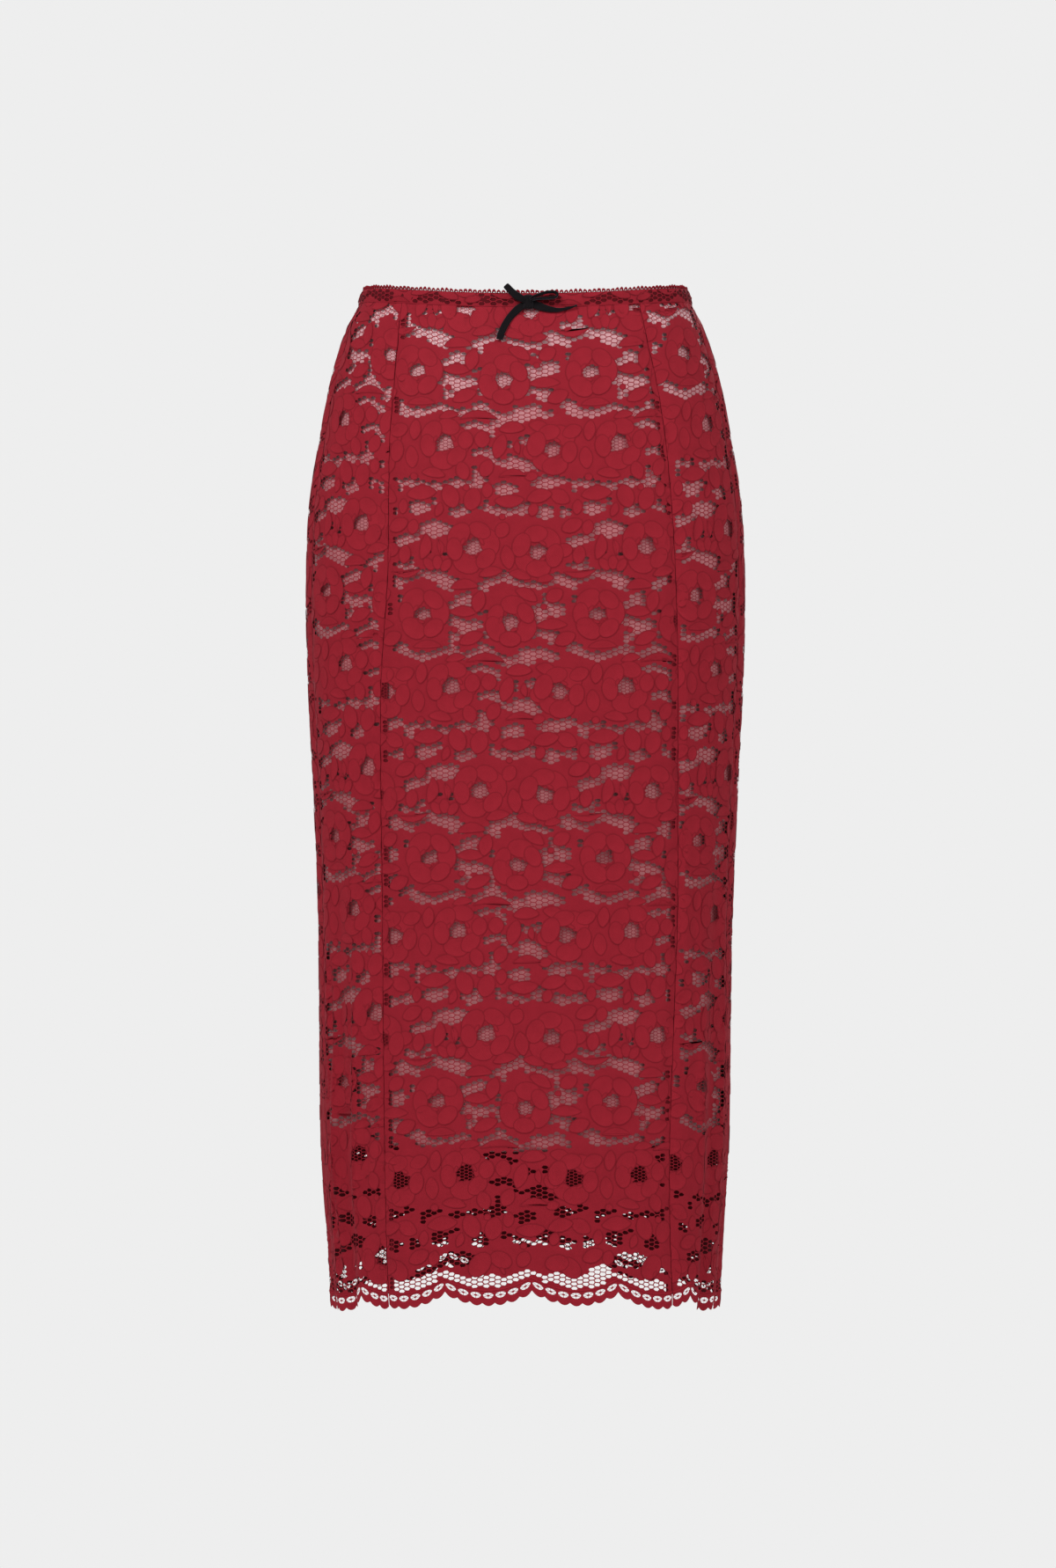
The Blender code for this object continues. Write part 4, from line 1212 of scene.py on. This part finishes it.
class Wiring:
    """Short ways to add and join nodes; a socket is given a value or what it is joined to."""

    def __init__(self, tree):
        self.tree = tree

    def fill(self, node, inputs):
        for name, value in dict(inputs).items():
            if isinstance(value, bpy.types.NodeSocket):
                self.tree.links.new(value, node.inputs[name])
            else:
                node.inputs[name].default_value = value

    def node(self, kind, inputs=(), **settings):
        made = self.tree.nodes.new("ShaderNode" + kind)
        for name, value in settings.items():
            setattr(made, name, value)
        self.fill(made, inputs)
        return made

    def math(self, operation, first, second, clamp=False):
        return self.node("Math", {0: first, 1: second}, operation=operation, use_clamp=clamp).outputs[0]

    def add(self, first, second):
        return self.math("ADD", first, second)

    def times(self, first, second):
        return self.math("MULTIPLY", first, second)

    def less(self, first, second):
        return self.math("SUBTRACT", first, second)

    def mix(self, factor, first, second):
        return self.node("Mix", {0: factor, 6: first, 7: second}, data_type="RGBA").outputs[2]

    def noise(self, place, scale, dimensions="3D", **inputs):
        return self.node("TexNoise", {"Vector": place, "Scale": scale, **inputs},
                         noise_dimensions=dimensions).outputs[0]

    def bump(self, height, strength, distance):
        inputs = {"Height": height, "Strength": strength, "Distance": distance}
        return self.node("Bump", inputs).outputs["Normal"]

    def object_place(self):
        return self.node("TexCoord").outputs["Object"]


def new_material(name):
    material = bpy.data.materials.new(name)
    material.use_nodes = True
    return material, material.node_tree.nodes["Principled BSDF"], Wiring(material.node_tree)


def thread_group():
    """Twilled thread: fine slanted ribs with soft patches of lighter and darker thread."""
    group = bpy.data.node_groups.new("thread_work", "ShaderNodeTree")
    for name, kind, value in (("Colour", "Color", (0.27, 0.02, 0.03, 1.0)), ("Rib pitch", "Float", 1.2),
                              ("Rib depth", "Float", 0.5), ("Patches", "Float", 0.25)):
        socket = group.interface.new_socket(name=name, in_out="INPUT", socket_type="NodeSocket" + kind)
        socket.default_value = value
    for name, kind in (("Colour", "Color"), ("Height", "Float")):
        group.interface.new_socket(name=name, in_out="OUTPUT", socket_type="NodeSocket" + kind)
    given = group.nodes.new("NodeGroupInput").outputs
    result = group.nodes.new("NodeGroupOutput")
    wiring = Wiring(group)
    add, times, less = wiring.add, wiring.times, wiring.less
    place = wiring.node("UVMap", uv_map="cloth").outputs[0]
    across, up, _ = wiring.node("SeparateXYZ", {0: place}).outputs
    slant = add(across, times(up, RIB_LEAN))
    waver = wiring.noise(place, 3.0, "2D", Detail=2.0)
    scale = wiring.math("DIVIDE", RIB_TURN, given["Rib pitch"])
    phase = add(times(slant, scale), times(waver, RIB_WAVER))
    rib = add(times(wiring.math("SINE", phase, 0.0), 0.5), 0.5)
    patch = wiring.noise(place, 1.1, "2D", Detail=5.0, Roughness=0.62)
    fibre = wiring.noise(place, 16.0, "2D", Detail=3.0)
    tone = add(times(less(patch, 0.5), given["Patches"]),
               times(less(rib, 0.5), times(given["Rib depth"], 0.4)))
    tone = add(tone, times(less(fibre, 0.5), FIBRE_TONE))
    shade = wiring.node("VectorMath", {0: given["Colour"], "Scale": add(1.0, tone)}, operation="SCALE")
    height = add(times(rib, given["Rib depth"]), times(fibre, FIBRE_HEIGHT))
    wiring.fill(result, {"Colour": shade.outputs[0], "Height": height})
    return group


def lace_material(settings, name, colour, edge_shade, rib_depth):
    """Matt lace thread, soft pink sheen at glancing angles, painted shade on inner faces and plate rims.
    """
    material, shader, wiring = new_material(name)
    group = bpy.data.node_groups.get("thread_work") or thread_group()
    thread = wiring.node("Group", {"Colour": colour, "Rib depth": rib_depth}, node_tree=group).outputs
    result = thread["Colour"]
    # Painted shade: the plate rims, marked by the edge attribute, are darkened towards 0.42 of the colour
    # for the shade in the steps between plates.
    if edge_shade:
        edge = wiring.node("Attribute", attribute_name="edge")
        result = wiring.mix(wiring.times(edge.outputs["Fac"], edge_shade), result, shaded(colour, 0.42))
    # Painted shade: inner faces are darkened to 0.3 of the colour, for the shadow inside the skirt.
    backface_painted_shade = wiring.node("NewGeometry").outputs["Backfacing"]
    wiring.fill(shader, {
        "Base Color": wiring.mix(backface_painted_shade, result, shaded(colour, 0.3)),
        "Normal": wiring.bump(thread["Height"], 0.35, 0.0003),
        "Roughness": 0.72,
        "Specular IOR Level": 0.06,
        "Sheen Weight": 0.06,
        "Sheen Roughness": 0.4,
        "Sheen Tint": shaded(settings.sheen_colour),
    })
    return material


def lining_material(settings):
    """Dull satin in dusty rose, with painted shade darkening it towards the hem."""
    material, shader, wiring = new_material("lining_satin")
    place = wiring.object_place()
    height = wiring.node("SeparateXYZ", {0: place}).outputs[2]
    down = wiring.node("MapRange", {"Value": height, "From Min": 0.0, "From Max": -SIDE_LENGTH * MM})
    # Painted shade: this ramp darkens the lining's colour from the waist down to the hem.
    ramp = wiring.node("ValToRGB", {0: down.outputs["Result"]})
    stops = ramp.color_ramp.elements
    while len(stops) < len(LINING_PAINTED_SHADE):
        stops.new(0.5)
    for stop, (place_down, shares) in zip(stops, LINING_PAINTED_SHADE):
        stop.position = place_down
        stop.color = shaded([share * part for share, part in zip(shares, settings.lining_colour)])
    weave = wiring.noise(place, 60.0, Detail=4.0)
    soft = wiring.math("MULTIPLY", wiring.less(weave, 0.35), 0.3, clamp=True)
    wiring.fill(shader, {
        "Base Color": wiring.mix(soft, ramp.outputs[0], (0.85, 0.55, 0.55, 1.0)),
        "Normal": wiring.bump(weave, 0.2, 0.0004),
        "Roughness": 0.48,
        "Sheen Weight": 0.2,
    })
    return material


def velvet_material(settings):
    """Black velvet: deep pile, a faint real sheen and a cool sheen painted at its turned edges."""
    material, shader, wiring = new_material("ribbon_velvet")
    pile = wiring.noise(wiring.object_place(), 1500.0, Detail=3.0)
    base = settings.ribbon_colour
    # Painted sheen: faces turned away from the view are lightened towards a cool grey.
    painted_sheen_facing = wiring.node("LayerWeight", {"Blend": 0.5}).outputs["Facing"]
    shade = wiring.mix(pile, shaded(base), shaded(base, 2.4))
    wiring.fill(shader, {
        "Base Color": wiring.mix(wiring.math("POWER", painted_sheen_facing, 3.0), shade, (0.085, 0.08, 0.095, 1.0)),
        "Normal": wiring.bump(pile, 0.6, 0.0002),
        "Roughness": 0.85,
        "Sheen Weight": 0.03,
        "Sheen Roughness": 0.3,
        "Specular IOR Level": 0.08,
        "Sheen Tint": (0.62, 0.68, 0.82, 1.0),
    })
    return material


def colour_setting(name, description, default):
    return bpy.props.FloatVectorProperty(name=name, description=description, subtype="COLOR",
                                         default=default, min=0.0, max=1.0)


class SkirtSettings(bpy.types.PropertyGroup):
    """Sizes and colours of the skirt's cloth."""

    lace_colour: colour_setting("Lace", "Colour of the lace's clothwork", (0.262, 0.0125, 0.0225))
    net_colour: colour_setting("Net", "Colour of the lace's ground net", (0.245, 0.0115, 0.021))
    sheen_colour: colour_setting("Sheen", "Colour of the lace's glancing sheen", (1.0, 0.42, 0.48))
    lining_colour: colour_setting("Lining", "Colour of the lining at the waist", (0.76, 0.41, 0.44))
    ribbon_colour: colour_setting("Ribbon", "Colour of the velvet ribbon", (0.0035, 0.0028, 0.0034))
    allowance_width: bpy.props.FloatProperty(
        name="Seam allowance", description="Width of the lace turned in along each front seam",
        default=7.0 * MM, min=2.0 * MM, max=15.0 * MM, unit="LENGTH")


class SKIRT_OT_lace(bpy.types.Operator):
    """Make the four lace panels with their clothwork and scalloped hems"""
    bl_idname = "skirt.lace"
    bl_label = "Lace panels"

    def execute(self, context):
        settings = context.scene.skirt_settings
        net_look = lace_material(settings, "lace_ground", shaded(settings.net_colour), 0.0, 0.3)
        work_look = lace_material(settings, "lace_clothwork", shaded(settings.lace_colour), 0.5, 0.5)
        tile, plates = repeat_tile()
        for name, panel in PANELS.items():
            ground = add_piece("lace_" + name, build_net(panel), net_look, (name,))
            work = add_piece("clothwork_" + name, build_clothwork(panel, tile, plates), work_look)
            edge = add_piece("hem_border_" + name, build_border(panel), work_look)
            first, last = FORM.span(panel, FORM.drops)
        return {"FINISHED"}


class SKIRT_OT_lining(bpy.types.Operator):
    """Make the lining's front and back"""
    bl_idname = "skirt.lining"
    bl_label = "Lining"

    def execute(self, context):
        look = lining_material(context.scene.skirt_settings)
        for lining in LININGS:
            name = lining.name
            piece = add_piece(name + "_satin", build_lining(lining), look, (name,))
            thicken(piece, "Wall", LINING_WALL * MM, -1.0)
            first, last = FORM.span(lining, FORM.drops)
        return {"FINISHED"}


class SKIRT_OT_waistband(bpy.types.Operator):
    """Make the waist casing and the picot loops on it"""
    bl_idname = "skirt.waistband"
    bl_label = "Waistband"

    def execute(self, context):
        settings = context.scene.skirt_settings
        # Painted shade: the casing under its lace is coloured 0.3 of the lace, for the shade inside the
        # folded casing seen through the net.
        inner = lace_material(settings, "casing_inner_painted_shade", shaded(settings.lace_colour, 0.3), 0.0, 0.6)
        lace = shaded(settings.lace_colour, 0.9)
        look = lace_material(settings, "casing_lace", lace, 0.7, 0.6)
        loops = lace_material(settings, "picot_thread", shaded(lace, 0.85), 0.0, 0.3)
        clothwork = build_clothwork(CASING_LACE, *repeat_tile())
        add_piece("waist_casing", build_band(), inner, ("waistband",))
        add_piece("casing_ground", build_net(CASING_LACE), look)
        add_piece("casing_clothwork", clothwork, look)
        add_piece("picot_loops", build_picots(), loops, ("picot_edge",))
        return {"FINISHED"}


class SKIRT_OT_seams(bpy.types.Operator):
    """Make the lace turned in along the seams"""
    bl_idname = "skirt.seams"
    bl_label = "Seam allowances"

    def execute(self, context):
        settings = context.scene.skirt_settings
        # Painted shade: the turned-in lace is coloured 0.45 of the lace, for the shadow at the seams that
        # shows through the open net.
        look = lace_material(settings, "allowance_lace_painted_shade", shaded(settings.lace_colour, 0.45), 0.0, 0.4)
        for seam, end, side in SEAMS:
            name = "allowance_" + end
            if seam.endswith("side"):
                mesh = build_allowance(name, seam, side, SIDE_ALLOWANCE, SIDE_ALLOWANCE_COLUMNS)
            else:
                narrow = settings.allowance_width / MM
                mesh = build_allowance(name, seam, side, narrow, ALLOWANCE_COLUMNS)
            add_piece(name, mesh, look)
        return {"FINISHED"}


class SKIRT_OT_bow(bpy.types.Operator):
    """Make the velvet ribbon bow at the centre of the waist"""
    bl_idname = "skirt.bow"
    bl_label = "Ribbon bow"

    def execute(self, context):
        look = velvet_material(context.scene.skirt_settings)
        for name, rows in RIBBONS.items():
            piece = add_piece("velvet_" + name, build_ribbon(name, rows), look, (name,))
            thicken(piece, "Pile", RIBBON_WALL * MM, 0.0)
            round_off(piece)
        round_off(add_piece("velvet_bow_knot", build_knot(), look, ("bow_knot",)))
        return {"FINISHED"}


class SKIRT_OT_studio(bpy.types.Operator):
    """Set up the pale floor, the soft lights and the camera"""
    bl_idname = "skirt.studio"
    bl_label = "Studio"

    def execute(self, context):
        shape = bmesh.new()
        bmesh.ops.create_circle(shape, cap_ends=True, radius=FLOOR_RADIUS, segments=FLOOR_SIDES)
        bmesh.ops.translate(shape, vec=(0.0, 0.0, FLOOR_Z), verts=shape.verts)
        floor = add_object("studio_floor", mesh_from(shape, "studio_floor"))
        paper, shader, wiring = new_material("studio_paper")
        grain = wiring.noise(wiring.object_place(), 40.0)
        shade = wiring.mix(grain, (0.78, 0.78, 0.78, 1.0), (0.8, 0.8, 0.8, 1.0))
        wiring.fill(shader, {"Base Color": shade, "Roughness": 0.95, "Specular IOR Level": 0.0})
        floor.data.materials.append(paper)
        world = bpy.data.worlds.new("studio_air")
        world.use_nodes = True
        wiring = Wiring(world.node_tree)
        seen = wiring.times(wiring.node("LightPath").outputs["Is Camera Ray"], AIR_SEEN - AIR_STRENGTH)
        wiring.fill(world.node_tree.nodes["Background"],
                    {"Color": (1.0, 1.0, 1.0, 1.0), "Strength": wiring.add(seen, AIR_STRENGTH)})
        context.scene.world = world
        for name, place, aim_height, size, watts in LIGHTS:
            light = bpy.data.lights.new(name, "AREA")
            light.shape = "SQUARE"
            light.size = size
            light.energy = watts
            lamp = add_object(name, light)
            lamp.location = place
            aim = Vector((0.0, 0.0, aim_height)) - Vector(place)
            lamp.rotation_euler = aim.to_track_quat("-Z", "Y").to_euler()
        camera = bpy.data.cameras.new("camera")
        camera.sensor_fit = "VERTICAL"
        camera.sensor_height = SENSOR
        camera.lens = SENSOR * abs(CAMERA_PLACE[1]) / CAMERA_VIEW_HEIGHT
        camera.clip_end = 50.0
        eye = add_object("camera", camera)
        eye.location = CAMERA_PLACE
        eye.rotation_euler = (math.radians(90.0), 0.0, 0.0)
        context.scene.camera = eye
        context.scene.view_settings.view_transform = "Standard"
        return {"FINISHED"}


class SKIRT_PT_pieces(bpy.types.Panel):
    """The skirt's pieces, in the order they are made"""
    bl_label = "Lace pencil skirt"
    bl_space_type = "VIEW_3D"
    bl_region_type = "UI"
    bl_category = "Skirt"

    def draw(self, context):
        settings = context.scene.skirt_settings
        for name in SkirtSettings.__annotations__:
            self.layout.prop(settings, name)
        for operator in OPERATORS:
            self.layout.operator(operator.bl_idname)


OPERATORS = (SKIRT_OT_waistband, SKIRT_OT_lace, SKIRT_OT_lining, SKIRT_OT_seams, SKIRT_OT_bow,
             SKIRT_OT_studio)
CLASSES = (SkirtSettings,) + OPERATORS + (SKIRT_PT_pieces,)


def register():
    for kind in CLASSES:
        bpy.utils.register_class(kind)
    bpy.types.Scene.skirt_settings = bpy.props.PointerProperty(type=SkirtSettings)


def unregister():
    del bpy.types.Scene.skirt_settings
    for kind in reversed(CLASSES):
        bpy.utils.unregister_class(kind)


def main():
    register()
    for operator in OPERATORS:
        group, name = operator.bl_idname.split(".")
        getattr(getattr(bpy.ops, group), name)()


if __name__ == "__main__":
    main()
